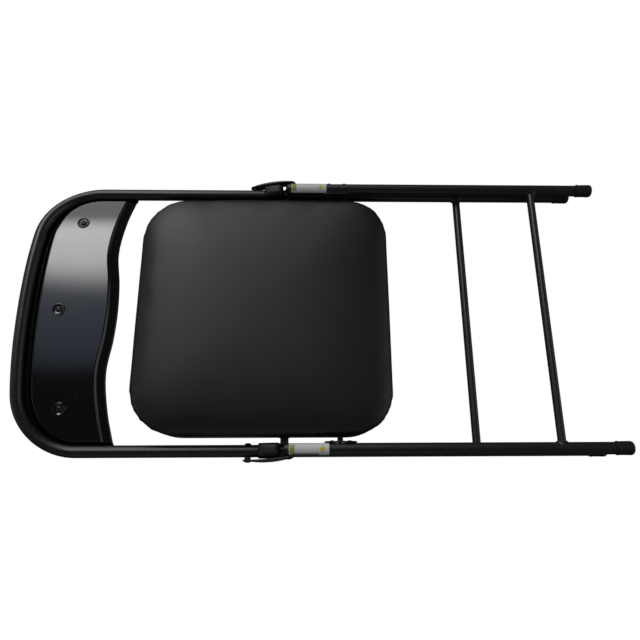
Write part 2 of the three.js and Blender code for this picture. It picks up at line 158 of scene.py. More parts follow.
def turned(
    profile: Array, origin: Point, axis: Point, sides: int = 28, facets: Array | None = None
) -> Array:
    """Rings of a turned piece.

    A profile row gives the distance along the axis and the radius there.

    Args:
        profile: rows of distance along the axis and radius.
        origin: where the axis starts.
        axis: the direction of the axis.
        sides: points in each ring.
        facets: a factor on the radius for each row and angle, or None.

    Returns:
        Points in rows of one ring each.
    """
    along = unit(np.array(axis, float))
    helper = np.array([0.0, 0.0, 1.0]) if abs(along[2]) < 0.9 else np.array([0.0, 1.0, 0.0])
    across = unit(np.cross(along, helper))
    lift = np.cross(across, along)
    a = ring_angles(sides)[None, :, None]
    rings = np.cos(a) * across + np.sin(a) * lift
    radius = profile[:, 1][:, None, None] * (1.0 if facets is None else facets[:, :, None])
    return np.array(origin, float) + profile[:, 0][:, None, None] * along + radius * rings


def rounded_loop(half: float, y0: float, y1: float, radii: tuple[float, float], bulge: float = 0.0) -> Array:
    """A rectangle in plan with round corners and slightly bulging sides.

    The corner at y0 takes the first radius and that at y1 the second. Each side moves out by
    the bulge times one less the square of the distance from its middle.

    Args:
        half: half of the width.
        y0: the end towards the top of the back.
        y1: the end towards the feet.
        radii: corner radii at y0 and at y1.
        bulge: how far the middle of a side stands out.

    Returns:
        Points of X and Y round the loop, anticlockwise.
    """
    r0, r1 = radii
    corners = [
        (half - r1, y1 - r1, r1, 0.0),
        (-half + r1, y1 - r1, r1, 90.0),
        (-half + r0, y0 + r0, r0, 180.0),
        (half - r0, y0 + r0, r0, 270.0),
    ]
    arcs = []
    for x, y, r, start in corners:
        a = np.radians(start + np.linspace(0.0, 90.0, 17))
        arcs.append(np.stack([x + r * np.cos(a), y + r * np.sin(a)], axis=1))
    sides = [
        np.linspace(arcs[i][-1], arcs[(i + 1) % 4][0], 20)[1:-1]
        for i in range(4)
    ]
    loop = np.concatenate([part for pair in zip(arcs, sides) for part in pair])
    middle, span = (y0 + y1) / 2.0, (y1 - y0) / 2.0
    u, v = loop[:, 0] / half, (loop[:, 1] - middle) / span
    loop[:, 0] += bulge * u * (1.0 - v**2)
    loop[:, 1] += bulge * v * (1.0 - u**2)
    return loop


class Shape:
    """Grids of points that together make the mesh of one piece."""

    def __init__(self, name: str) -> None:
        """Starts an empty shape.

        Args:
            name: the piece's name.
        """
        self.name = name
        self.points: list[Array] = []
        self.faces: list[Array] = []
        self.count = 0

    def add(self, grid: Array, wrap: bool = True) -> "Shape":
        """Adds a grid of points, whose cells become faces.

        Args:
            grid: points in rows and columns.
            wrap: whether the last column joins the first.

        Returns:
            The shape itself.
        """
        rows, columns = grid.shape[:2]
        i, j = np.meshgrid(np.arange(rows - 1), np.arange(columns if wrap else columns - 1), indexing="ij")
        k = (j + 1) % columns
        row, below = i * columns, (i + 1) * columns
        quads = np.stack([row + j, row + k, below + k, below + j], -1)
        self.points.append(grid.reshape(-1, 3))
        self.faces.append(quads.reshape(-1, 4) + self.count)
        self.count += rows * columns
        return self

    def build(self, crease: float = 38.0, outwards: bool = True) -> bpy.types.Object:
        """Makes the mesh object, with coincident points merged and faces turned outwards.

        Args:
            crease: the angle in degrees past which an edge stays sharp.
            outwards: whether the shape is closed, so that its faces can be turned outwards.

        Returns:
            The object, at the origin, in metres.
        """
        points = np.concatenate(self.points) * MM
        faces = np.concatenate(self.faces).astype(np.int32)
        mesh = bpy.data.meshes.new(self.name)
        mesh.vertices.add(len(points))
        mesh.vertices.foreach_set("co", points.astype(np.float32).ravel())
        mesh.loops.add(faces.size)
        mesh.loops.foreach_set("vertex_index", faces.ravel())
        mesh.polygons.add(len(faces))
        mesh.polygons.foreach_set("loop_start", np.arange(0, faces.size, 4, dtype=np.int32))
        mesh.update(calc_edges=True)
        work = bmesh.new()
        work.from_mesh(mesh)
        bmesh.ops.remove_doubles(work, verts=work.verts, dist=2e-6)
        bmesh.ops.dissolve_degenerate(work, edges=work.edges, dist=1e-6)
        if outwards:
            bmesh.ops.recalc_face_normals(work, faces=work.faces)
        work.to_mesh(mesh)
        work.free()
        smooth(mesh, crease)
        made = bpy.data.objects.new(self.name, mesh)
        bpy.context.scene.collection.objects.link(made)
        return made


def smooth(mesh: bpy.types.Mesh, crease: float) -> None:
    """Shades a mesh smooth, with edges past the crease angle in degrees left sharp."""
    mesh.polygons.foreach_set("use_smooth", np.ones(len(mesh.polygons), bool))
    mesh.set_sharp_from_angle(angle=math.radians(crease))


def stuff(piece: bpy.types.Object, voxel: float, cap: float, pressure: float) -> None:
    """Swells a closed form like a filled cover: a remesh, cloth under pressure, then smoothing.

    Args:
        piece: the closed form.
        voxel: the remesh size.
        cap: the farthest that a point may move.
        pressure: the pressure inside.
    """
    remesh = piece.modifiers.new("even", "REMESH")
    remesh.mode = "VOXEL"
    remesh.voxel_size = voxel * MM
    apply_modifiers(piece)
    count = len(piece.data.vertices)
    start = np.zeros(count * 3, np.float32)
    piece.data.vertices.foreach_get("co", start)
    cloth = piece.modifiers.new("swell", "CLOTH")
    cloth.settings.use_pressure = True
    cloth.settings.uniform_pressure_force = pressure
    cloth.settings.effector_weights.gravity = 0.0
    for frame_number in range(1, 21):
        bpy.context.scene.frame_set(frame_number)
    apply_modifiers(piece)
    end = np.zeros(count * 3, np.float32)
    piece.data.vertices.foreach_get("co", end)
    move = (end - start).reshape(-1, 3)
    size = np.linalg.norm(move, axis=1, keepdims=True)
    held = move * np.minimum(1.0, cap * MM / np.maximum(size, 1e-9))
    piece.data.vertices.foreach_set("co", (start.reshape(-1, 3) + held).astype(np.float32).ravel())
    bpy.context.scene.frame_set(1)
    even_out = piece.modifiers.new("even out", "SMOOTH")
    even_out.factor = 0.5
    even_out.iterations = 14
    apply_modifiers(piece)


def apply_modifiers(piece: bpy.types.Object) -> None:
    """Replaces a piece's mesh with what its modifiers make of it."""
    graph = bpy.context.evaluated_depsgraph_get()
    mesh = bpy.data.meshes.new_from_object(piece.evaluated_get(graph))
    piece.modifiers.clear()
    piece.data = mesh


def points_of(piece: bpy.types.Object) -> Array:
    """A mesh piece's vertices in millimetres."""
    flat = np.zeros(len(piece.data.vertices) * 3, np.float32)
    piece.data.vertices.foreach_get("co", flat)
    return flat.reshape(-1, 3).astype(float) / MM


def set_points(piece: bpy.types.Object, points: Array) -> None:
    """Moves a mesh piece's vertices to places in millimetres."""
    piece.data.vertices.foreach_set("co", (points * MM).astype(np.float32).ravel())
    piece.data.update()


def add_levels(piece: bpy.types.Object, levels: int = 1) -> None:
    """Adds a subdivision modifier with the same levels on screen and in the render."""
    fine = piece.modifiers.new("fine", "SUBSURF")
    fine.levels = levels
    fine.render_levels = levels


# ------------------------------------------------------------------ shader arithmetic


class Signal:
    """A shader socket that joins in Python arithmetic: each operation adds its Math node."""

    def __init__(self, tree: "Tree", socket: bpy.types.NodeSocket) -> None:
        """Wraps a socket.

        Args:
            tree: the node tree that holds it.
            socket: an output socket of one value.
        """
        self.tree = tree
        self.socket = socket

    def maths(self, operation: str, *values: "Signal | float") -> "Signal":
        """The Math node of an operation on some values."""
        return self.tree.take("ShaderNodeMath", 0, {"operation": operation}, dict(enumerate(values)))

    def __add__(self, other: "Signal | float") -> "Signal":
        """This plus the other."""
        return self.maths("ADD", self, other)

    def __radd__(self, other: float) -> "Signal":
        """The number plus this."""
        return self.maths("ADD", other, self)

    def __sub__(self, other: "Signal | float") -> "Signal":
        """This less the other."""
        return self.maths("SUBTRACT", self, other)

    def __rsub__(self, other: float) -> "Signal":
        """The number less this."""
        return self.maths("SUBTRACT", other, self)

    def __mul__(self, other: "Signal | float") -> "Signal":
        """This times the other."""
        return self.maths("MULTIPLY", self, other)

    def __rmul__(self, other: float) -> "Signal":
        """The number times this."""
        return self.maths("MULTIPLY", other, self)

    def __pow__(self, other: "Signal | float") -> "Signal":
        """This to the power of the other."""
        return self.maths("POWER", self, other)

    def __abs__(self) -> "Signal":
        """The size of this without its sign."""
        return self.maths("ABSOLUTE", self)

    def above(self, edge: float, width: float) -> "Signal":
        """Rises from 0 to 1 across a soft edge of a given width."""
        settings = {"interpolation_type": "SMOOTHSTEP"}
        sockets = {0: self, 1: edge - width / 2, 2: edge + width / 2, 3: 0.0, 4: 1.0}
        return self.tree.take("ShaderNodeMapRange", 0, settings, sockets)


class Tree:
    """A node tree with one method that makes any node."""

    def __init__(self, owner: bpy.types.Material | bpy.types.World) -> None:
        """Empties a material's or a world's node tree and wraps it.

        Args:
            owner: the material or the world.
        """
        owner.use_nodes = True
        self.tree = owner.node_tree
        self.tree.nodes.clear()

    def node(self, kind: str, settings: dict | None = None, sockets: dict | None = None) -> bpy.types.Node:
        """Makes a node.

        Args:
            kind: the node's type.
            settings: its properties by name. "stops" holds a colour ramp's places and colours.
            sockets: a value or a link for each input, by name or number.

        Returns:
            The node.
        """
        made = self.tree.nodes.new(kind)
        for key, value in (settings or {}).items():
            if key == "stops":
                self.set_stops(made.color_ramp, value)
            else:
                setattr(made, key, value)
        for key, value in (sockets or {}).items():
            if isinstance(value, Signal):
                self.tree.links.new(value.socket, made.inputs[key])
            else:
                made.inputs[key].default_value = value
        return made

    def set_stops(self, ramp: bpy.types.ColorRamp, stops: list[tuple[float, Colour]]) -> None:
        """Gives a colour ramp its places and colours."""
        while len(ramp.elements) < len(stops):
            ramp.elements.new(1.0)
        for element, (place, colour) in zip(ramp.elements, stops):
            element.position = place
            element.color = (*colour, 1.0)

    def take(self, kind: str, output: str | int, settings: dict | None, sockets: dict | None) -> Signal:
        """Makes a node and wraps one of its outputs."""
        return Signal(self, self.node(kind, settings, sockets).outputs[output])

    def places(self) -> Signal:
        """The piece's own coordinates in metres, as a vector."""
        return self.take("ShaderNodeTexCoord", "Object", None, None)

    def noise(self, where: Signal, scale: float, detail: float = 2.0, rough: float = 0.5) -> Signal:
        """Cloudy noise from 0 to 1.

        Args:
            where: the coordinates.
            scale: waves in a metre.
            detail: layers of finer noise.
            rough: the strength of the finer layers.

        Returns:
            The noise's value.
        """
        sockets = {"Vector": where, "Scale": scale, "Detail": detail, "Roughness": rough}
        return self.take("ShaderNodeTexNoise", "Fac", None, sockets)

    def blend(self, share: Signal, low: "Colour | Signal", high: "Colour | Signal") -> Signal:
        """Mixes two colours, the second by the share."""
        ends = [end if isinstance(end, Signal) else (*end, 1.0) for end in (low, high)]
        return self.take("ShaderNodeMix", 2, {"data_type": "RGBA"}, {0: share, 6: ends[0], 7: ends[1]})

    def bump(self, height: Signal, strength: float, depth: float) -> Signal:
        """A normal bent by a height map whose full height is the depth in metres."""
        sockets = {"Height": height, "Strength": strength, "Distance": depth}
        return self.take("ShaderNodeBump", "Normal", None, sockets)


# ------------------------------------------------------------------ finishes


@dataclass(frozen=True)
class Finish:
    """A finish that every surface of one kind shares."""

    name: str
    colour: Colour
    roughness: float

    def material(self) -> bpy.types.Material:
        """The material of this finish, made once."""
        found = bpy.data.materials.get(self.name)
        if found is not None:
            return found
        made = bpy.data.materials.new(self.name)
        tree = Tree(made)
        shader = tree.node("ShaderNodeBsdfPrincipled", None, {**self.constants(), **self.pattern(tree)})
        tree.node("ShaderNodeOutputMaterial", None, {"Surface": Signal(tree, shader.outputs[0])})
        return made

    def constants(self) -> dict:
        """Values that are the same all over the surface."""
        return {}

    def pattern(self, tree: Tree) -> dict:
        """What changes over the surface."""
        raise NotImplementedError


@dataclass(frozen=True)
class Enamel(Finish):
    """Black enamel on steel: a clear top layer over a coat that dried with a faint orange peel."""

    coat: float = 0.5
    coat_roughness: float = 0.12
    peel_scale: float = 420.0
    peel_depth: float = 0.00009
    rub: Colour = (0.03, 0.03, 0.032)

    def constants(self) -> dict:
        """The top layer's own values."""
        return {"Coat Weight": self.coat, "Coat Roughness": self.coat_roughness, "Specular IOR Level": 0.5}

    def pattern(self, tree: Tree) -> dict:
        """Cloudy gloss, faint rubbed patches and the orange peel."""
        where = tree.places()
        cloud = tree.noise(where, 24.0, 3.0)
        rubbed = tree.noise(where, 140.0, 5.0, 0.62).above(0.66, 0.16)
        fine = tree.noise(where, 1500.0, 1.0)
        peel = tree.noise(where, self.peel_scale, 1.5)
        return {
            "Base Color": tree.blend(rubbed * 0.55, self.colour, self.rub),
            "Roughness": self.roughness + (cloud - 0.5) * 0.12 + rubbed * 0.1 + (fine - 0.5) * 0.03,
            "Normal": tree.bump(peel, 0.35, self.peel_depth),
        }


@dataclass(frozen=True)
class Vinyl(Finish):
    """Upholstery vinyl: pebbled grain, with painted shade that darkens the creases between the pebbles."""

    pebble_scale: float = 760.0
    # crease is the colour of painted shade in the low valleys between the pebbles
    crease: Colour = (0.006, 0.0058, 0.0068)

    def constants(self) -> dict:
        """The vinyl's even values."""
        return {"Specular IOR Level": 0.6}

    def pattern(self, tree: Tree) -> dict:
        """Pebbles from cells, painted shade in the creases between them and wide soft shading of the colour.
        """
        where = tree.places()
        wander = tree.noise(where, 260.0, 2.0)
        cells = tree.take(
            "ShaderNodeTexVoronoi",
            "Distance",
            {"feature": "SMOOTH_F1"},
            {"Vector": where, "Scale": self.pebble_scale, "Smoothness": 0.6},
        )
        pebble = 1.0 - cells * 0.9 + (wander - 0.5) * 0.5
        wide = tree.noise(where, 9.0, 2.0)
        return {
            # painted shade: the colour falls to the crease colour where the pebbles' height is low
            "Base Color": tree.blend(pebble.above(0.45, 0.8) * 0.8 + wide * 0.2, self.crease, self.colour),
            "Roughness": self.roughness + (1.0 - pebble) * 0.1 + (wide - 0.5) * 0.06,
            "Normal": tree.bump(pebble, 0.3, 0.00016),
        }


@dataclass(frozen=True)
class Moulded(Finish):
    """Moulded plastic with the fine sparkle of an etched mould."""

    def constants(self) -> dict:
        """The plastic's even values."""
        return {"Specular IOR Level": 0.45}

    def pattern(self, tree: Tree) -> dict:
        """Etched grain and a slight cloud in the gloss."""
        where = tree.places()
        etch = tree.noise(where, 1900.0, 2.0, 0.6)
        cloud = tree.noise(where, 70.0, 3.0)
        scuffed = tree.noise(where, 310.0, 4.0, 0.65).above(0.64, 0.14)
        return {
            "Base Color": tree.blend(scuffed * 0.4, self.colour, (0.05, 0.05, 0.052)),
            "Roughness": self.roughness + (etch - 0.5) * 0.14 + (cloud - 0.5) * 0.1,
            "Normal": tree.bump(etch, 0.3, 0.00008),
        }


@dataclass(frozen=True)
class CoatedSteel(Finish):
    """Blackened steel of rivets, studs and screws, with fine turning marks and brighter rubs."""

    bright: Colour = (0.16, 0.16, 0.165)

    def pattern(self, tree: Tree) -> dict:
        """Rubbed spots where the black coat is thin."""
        where = tree.places()
        rubbed = tree.noise(where, 620.0, 4.0, 0.6).above(0.6, 0.22)
        grain = tree.noise(where, 2600.0, 2.0)
        return {
            "Base Color": tree.blend(rubbed, self.colour, self.bright),
            "Metallic": 0.55 + rubbed * 0.4,
            "Roughness": self.roughness + (grain - 0.5) * 0.12 - rubbed * 0.06,
            "Normal": tree.bump(grain, 0.25, 0.00005),
        }


@dataclass(frozen=True)
class LabelFilm(Finish):
    """White adhesive film with plain colour marks: a patch at one end, a disc and a grey edge."""

    start: float = -44.0
    leg_x: float = 221.0
    patch: Colour = (0.42, 0.40, 0.06)
    disc: Colour = (0.75, 0.66, 0.05)
    edge: Colour = (0.10, 0.10, 0.11)

    def constants(self) -> dict:
        """The film's even values."""
        return {"Specular IOR Level": 0.5, "Coat Weight": 0.25, "Coat Roughness": 0.2}

    def pattern(self, tree: Tree) -> dict:
        """Marks placed along the leg, under a slight paper tint."""
        where = tree.places()
        split = tree.node("ShaderNodeSeparateXYZ", None, {"Vector": where})
        along = Signal(tree, split.outputs[1]) * (1.0 / MM) - self.start
        across = abs(Signal(tree, split.outputs[0])) * (1.0 / MM) - self.leg_x
        in_width = 1.0 - abs(across).above(6.4, 0.4)
        in_patch = (1.0 - along.above(8.5, 0.4)) * along.above(1.0, 0.4) * in_width
        reach = ((along - 50.0) ** 2.0 + across**2.0) ** 0.5
        in_disc = 1.0 - reach.above(3.9, 0.6)
        in_edge = across.above(6.2, 0.5) * along.above(4.0, 0.4) * (1.0 - along.above(45.0, 0.4))
        tint = tree.noise(where, 90.0, 3.0)
        paper = tree.blend(tint, self.colour, (0.80, 0.80, 0.88))
        colour = tree.blend(in_patch, paper, self.patch)
        colour = tree.blend(in_disc, colour, self.disc)
        return {
            "Base Color": tree.blend(in_edge * 0.8, colour, self.edge),
            "Roughness": self.roughness + (tint - 0.5) * 0.15,
            "Normal": tree.bump(tint, 0.15, 0.00006),
        }


FRAME_ENAMEL = Enamel("black_tube_enamel", (0.0092, 0.0092, 0.0098), 0.42, coat_roughness=0.28)
PANEL_ENAMEL = Enamel("gloss_sheet_enamel", (0.0045, 0.0045, 0.0052), 0.15, coat=0.85, coat_roughness=0.045)
SEAT_VINYL = Vinyl("charcoal_vinyl", (0.0130, 0.0120, 0.0160), 0.40)
FOOT_PLASTIC = Moulded("moulded_black_plastic", (0.0105, 0.0105, 0.011), 0.5)
RIVET_STEEL = CoatedSteel("blackened_steel", (0.035, 0.035, 0.037), 0.36)
WHITE_FILM = LabelFilm("blank_label_film", (0.88, 0.88, 0.86), 0.4)


# ------------------------------------------------------------------ the chair's parts


@dataclass
class Plan:
    """Main sizes that several parts of the chair share."""

    leg_x: float = 221.0
    tube_r: float = 9.5
    frame_z: float = 12.0
    rear_z: float = 34.5
    top_y: float = -478.6
    corner_r: float = 94.0
    arch: float = math.radians(5.0)
    bow: float = 24.5
    gap: float = 0.3
    foot_length: float = 26.0
    foot_tip: float = 4.0

    @classmethod
    def from_frame(cls) -> "Plan":
        """Reads the lines of the tubes off the CAD solids."""
        front_low, front_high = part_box("front_foot_left")
        rear_low, rear_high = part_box("rear_foot_left")
        return cls(
            leg_x=(front_low.x + front_high.x) / 2 / MM,
            frame_z=(front_low.z + front_high.z) / 2 / MM,
            rear_z=(rear_low.z + rear_high.z) / 2 / MM,
        )

    def bow_z(self, x: Array | float) -> Array | float:
        """Height of the bowed top: the frame's height plus the bow times one less the cube of x."""
        return self.frame_z + self.bow * (1.0 - abs(x / self.leg_x) ** 3)

    def top_loop(self, inset: float, corner_steps: int = 28, arch_steps: int = 40) -> Array:
        """The top of the frame in plan, from the left leg round to the right leg.

        Each corner is an arc, and the shallow arch between them is an arc of a large circle.

        Args:
            inset: how far inside the tube's centre line it runs.
            corner_steps: points in a corner.
            arch_steps: points in the arch.

        Returns:
            Points of X and Y.
        """
        corner_x = self.leg_x - self.corner_r
        arch_r = (corner_x + self.corner_r * math.sin(self.arch)) / math.sin(self.arch)
        rise = arch_r * (1.0 - math.cos(self.arch))
        corner_y = self.top_y + self.tube_r + rise + self.corner_r * math.cos(self.arch)
        a = np.linspace(0.0, math.pi / 2 - self.arch, corner_steps)
        r = self.corner_r - inset
        left = np.stack([corner_x + r * np.cos(a), corner_y - r * np.sin(a)], axis=1)
        b = np.linspace(self.arch, -self.arch, arch_steps)[1:-1]
        big = arch_r - inset
        centre_y = self.top_y + self.tube_r + arch_r
        arch = np.stack([big * np.sin(b), centre_y - big * np.cos(b)], axis=1)
        return np.concatenate([left, arch, left[::-1] * [-1.0, 1.0]])


@dataclass
class Part:
    """A sub-assembly: it builds pieces, gives each its finish and hands it to its CAD body."""

    plan: Plan
    slots: dict[str, str]
    body: str = ""
    made: list[str] = field(default_factory=list)

    def place(self, piece: bpy.types.Object, finish: Finish, node: str, body: str = "") -> bpy.types.Object:
        """Dresses a piece and lets it stand for its CAD solid.

        Args:
            piece: the finished piece.
            finish: its finish.
            node: the CAD solid that it replaces.
            body: the CAD body that it rides on, if it isn't this part's own.

        Returns:
            The piece.
        """
        piece.data.materials.clear()
        piece.data.materials.append(finish.material())
        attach(piece, body or self.body)
        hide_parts(node)
        self.made.append(piece.name)
        log.info("%s stands for %s, %d faces", piece.name, node, len(piece.data.polygons))
        return piece

    def turned_x(
        self, name: str, profile: list, side: Side, y: float, z: float, edge: float
    ) -> bpy.types.Object:
        """A turned piece along X whose profile lists distance from the middle plane and radius."""
        rows = soften(profile, edge)
        return Shape(name).add(turned(rows, (0.0, y, z), (side.value, 0, 0))).build()

    def brace(self, name: str, y: float, z: float, radius: float) -> bpy.types.Object:
        """A round bar between two legs with a weld bead at each end.

        The bead's rows go from the bar out to the leg tube. Its height swells between them as
        a sine, and ripples run round it as a cosine of the angle.

        Args:
            name: the piece's name.
            y: place along the legs.
            z: height of the bar.
            radius: radius of the bar.

        Returns:
            The bar with its beads.
        """
        shape = Shape(name)
        reach = self.plan.leg_x - self.plan.tube_r + 1.2
        path = np.linspace([-reach, y, z], [reach, y, z], 40)
        shape.add(closed_ends(sweep(path, radius, 28)))
        a = ring_angles(56)[None, :]
        t = np.linspace(0.0, 1.0, 9)[:, None]
        ripple = 0.22 * np.sin(math.pi * t) * np.cos(14 * a + 0.6 * np.sin(3 * a))
        out = radius - 0.4 + 3.4 * t + 0.9 * np.sin(math.pi * t) + ripple
        cosine, sine = np.cos(a), np.sin(a)
        on_tube = self.plan.leg_x - np.sqrt(self.plan.tube_r**2 - np.minimum(out * sine, 9.0) ** 2)
        x = on_tube - 2.6 * (1.0 - t) ** 1.6 - 0.5 * np.sin(math.pi * t) + 0.5 * t
        for side in Side:
            bead = np.stack([side.value * x, y + out * cosine, z + out * sine], axis=-1)
            inner = np.stack([side.value * (x[-1:] + 1.5), y + 3.0 * cosine, z + 3.0 * sine], axis=-1)
            root = np.stack([side.value * (x[:1] + 1.5), y + 3.0 * cosine, z + 3.0 * sine], axis=-1)
            shape.add(np.concatenate([root, bead, inner]))
        return shape.build(60.0)

    def foot(self, name: str, x: float, end: float, z: float) -> bpy.types.Object:
        """A foot cap over a tube end: a sleeve with a lip and a rounded tip towards +Y."""
        length, bore, outer = self.plan.foot_length, self.plan.tube_r + 0.2, 10.75
        profile = [
            (length - 3.7, 0.0),
            (length - 3.7, bore),
            (0.0, bore),
            (0.0, outer + 0.1),
            (2.6, outer + 0.1),
            (3.2, outer - 0.35),
            (length - 3.5, outer),
            (length - 0.9, outer - 1.4),
            (length, outer - 4.6),
            (length, 0.0),
        ]
        return Shape(name).add(turned(soften(profile, 0.9), (x, end - length, z), (0, 1, 0), 40)).build()


@dataclass
class FrontFrame(Part):
    """The bent tube with its brace, feet, bumpers and the rivets that hold the links."""

    foot_y: float = 447.5
    brace_y: float = 246.5
    brace_r: float = 6.35
    link_y: float = -108.0
    strap_x: float = 234.3
    strap_t: float = 1.8

    def build(self) -> None:
        """Builds every piece of the front frame."""
        self.place(self.main_tube(), FRAME_ENAMEL, "front_frame_tube")
        bar = self.brace("front_cross_bar", self.brace_y, self.plan.frame_z, self.brace_r)
        self.place(bar, FRAME_ENAMEL, "front_brace")
        for side in Side:
            x = side.value * self.plan.leg_x
            cap = self.foot(f"front_cap_{side.word}", x, self.foot_y, self.plan.frame_z)
            self.place(cap, FOOT_PLASTIC, f"front_foot_{side.word}")
            self.place(self.bumper(side), FOOT_PLASTIC, f"bumper_{side.word}")
            self.place(self.link_rivet(side), RIVET_STEEL, f"link_rivet_{side.word}")

    def main_tube(self) -> bpy.types.Object:
        """The tube from one foot up round the bowed top to the other foot."""
        loop = self.plan.top_loop(0.0)
        top = np.column_stack([loop, self.plan.bow_z(loop[:, 0])])
        end = self.foot_y - self.plan.foot_tip
        leg = np.linspace([self.plan.leg_x, end, self.plan.frame_z], top[0], 24)[:-1]
        path = np.concatenate([leg, top, leg[::-1] * [-1.0, 1.0, 1.0]])
        return Shape("bent_frame_tube").add(closed_ends(sweep(path, self.plan.tube_r, 36))).build(60.0)

    def bumper(self, side: Side) -> bpy.types.Object:
        """A moulded saddle on the rear half of the tube.

        A section is an arch: outside a squared circle of the height that the saddle has there,
        inside the round of the tube. Towards both ends the outside eases in to the inside.
        """
        count = 36
        middle = np.linspace(-88.0, -61.5, 16)
        y = np.concatenate([[-92.0, -91.7, -90.8, -89.5], middle, [-59.9, -59.0, -58.6, -58.5]])
        high = np.interp(y, [-92, -89, -82, -67.5, -62.5, -58.5], [15.5, 18.8, 22.2, 26.8, 26.4, 23.4])
        ends = np.minimum((y - y[0]) / 2.6, (y[-1] - y) / 1.6)
        full = np.sqrt(np.clip(1.0 - (1.0 - np.clip(ends, 0.0, 1.0)) ** 2, 0.0, 1.0))[:, None]
        a = np.linspace(0.0, math.pi, count)[None, :]
        squared_x = np.sign(np.cos(a)) * np.abs(np.cos(a)) ** 0.55
        squared_z = np.abs(np.sin(a)) ** 0.62
        bore = self.plan.tube_r + 0.25
        lift = 3.0
        low = math.asin(lift / bore)
        b = low + (math.pi - 2 * low) * (a / math.pi)
        inner_x = np.broadcast_to(bore * np.cos(b), (len(y), count))
        inner_z = np.broadcast_to(bore * np.sin(b), (len(y), count))
        outer_x = inner_x + (0.25 + 0.75 * full) * (11.6 * squared_x - inner_x)
        outer_z = inner_z + (0.25 + 0.75 * full) * (lift + (high[:, None] - lift) * squared_z - inner_z)
        xs = np.concatenate([outer_x, inner_x[:, ::-1]], axis=1)
        zs = np.concatenate([outer_z, inner_z[:, ::-1]], axis=1)
        ys = np.broadcast_to(y[:, None], xs.shape)
        grid = np.stack([side.value * self.plan.leg_x + xs, ys, self.plan.frame_z + zs], axis=-1)
        fold = (grid + grid[:, ::-1]) / 2
        shape = Shape(f"hinge_bumper_{side.word}")
        return shape.add(np.concatenate([fold[:1], grid, fold[-1:]])).build(50.0)

    def link_rivet(self, side: Side) -> bpy.types.Object:
        """The rivet through the tube that the link turns on, with a domed head at each end."""
        inner = self.plan.leg_x - self.plan.tube_r - self.plan.gap
        outer = self.plan.leg_x + self.plan.tube_r + self.plan.gap
        face = self.strap_x + self.strap_t + self.plan.gap
        profile = [
            (inner - 2.5, 0.0), (inner - 2.2, 2.6), (inner - 1.1, 4.8), (inner, 5.4), (inner, 3.0),
            (outer, 3.0), (outer, 5.0), (self.strap_x - 0.3, 5.0), (self.strap_x - 0.3, 3.0),
            (face, 3.0), (face, 6.0), (face + 0.9, 5.2), (face + 1.9, 3.0), (face + 2.3, 0.0),
        ]
        name = f"link_pin_{side.word}"
        return self.turned_x(name, profile, side, self.link_y, self.plan.frame_z, 0.5)


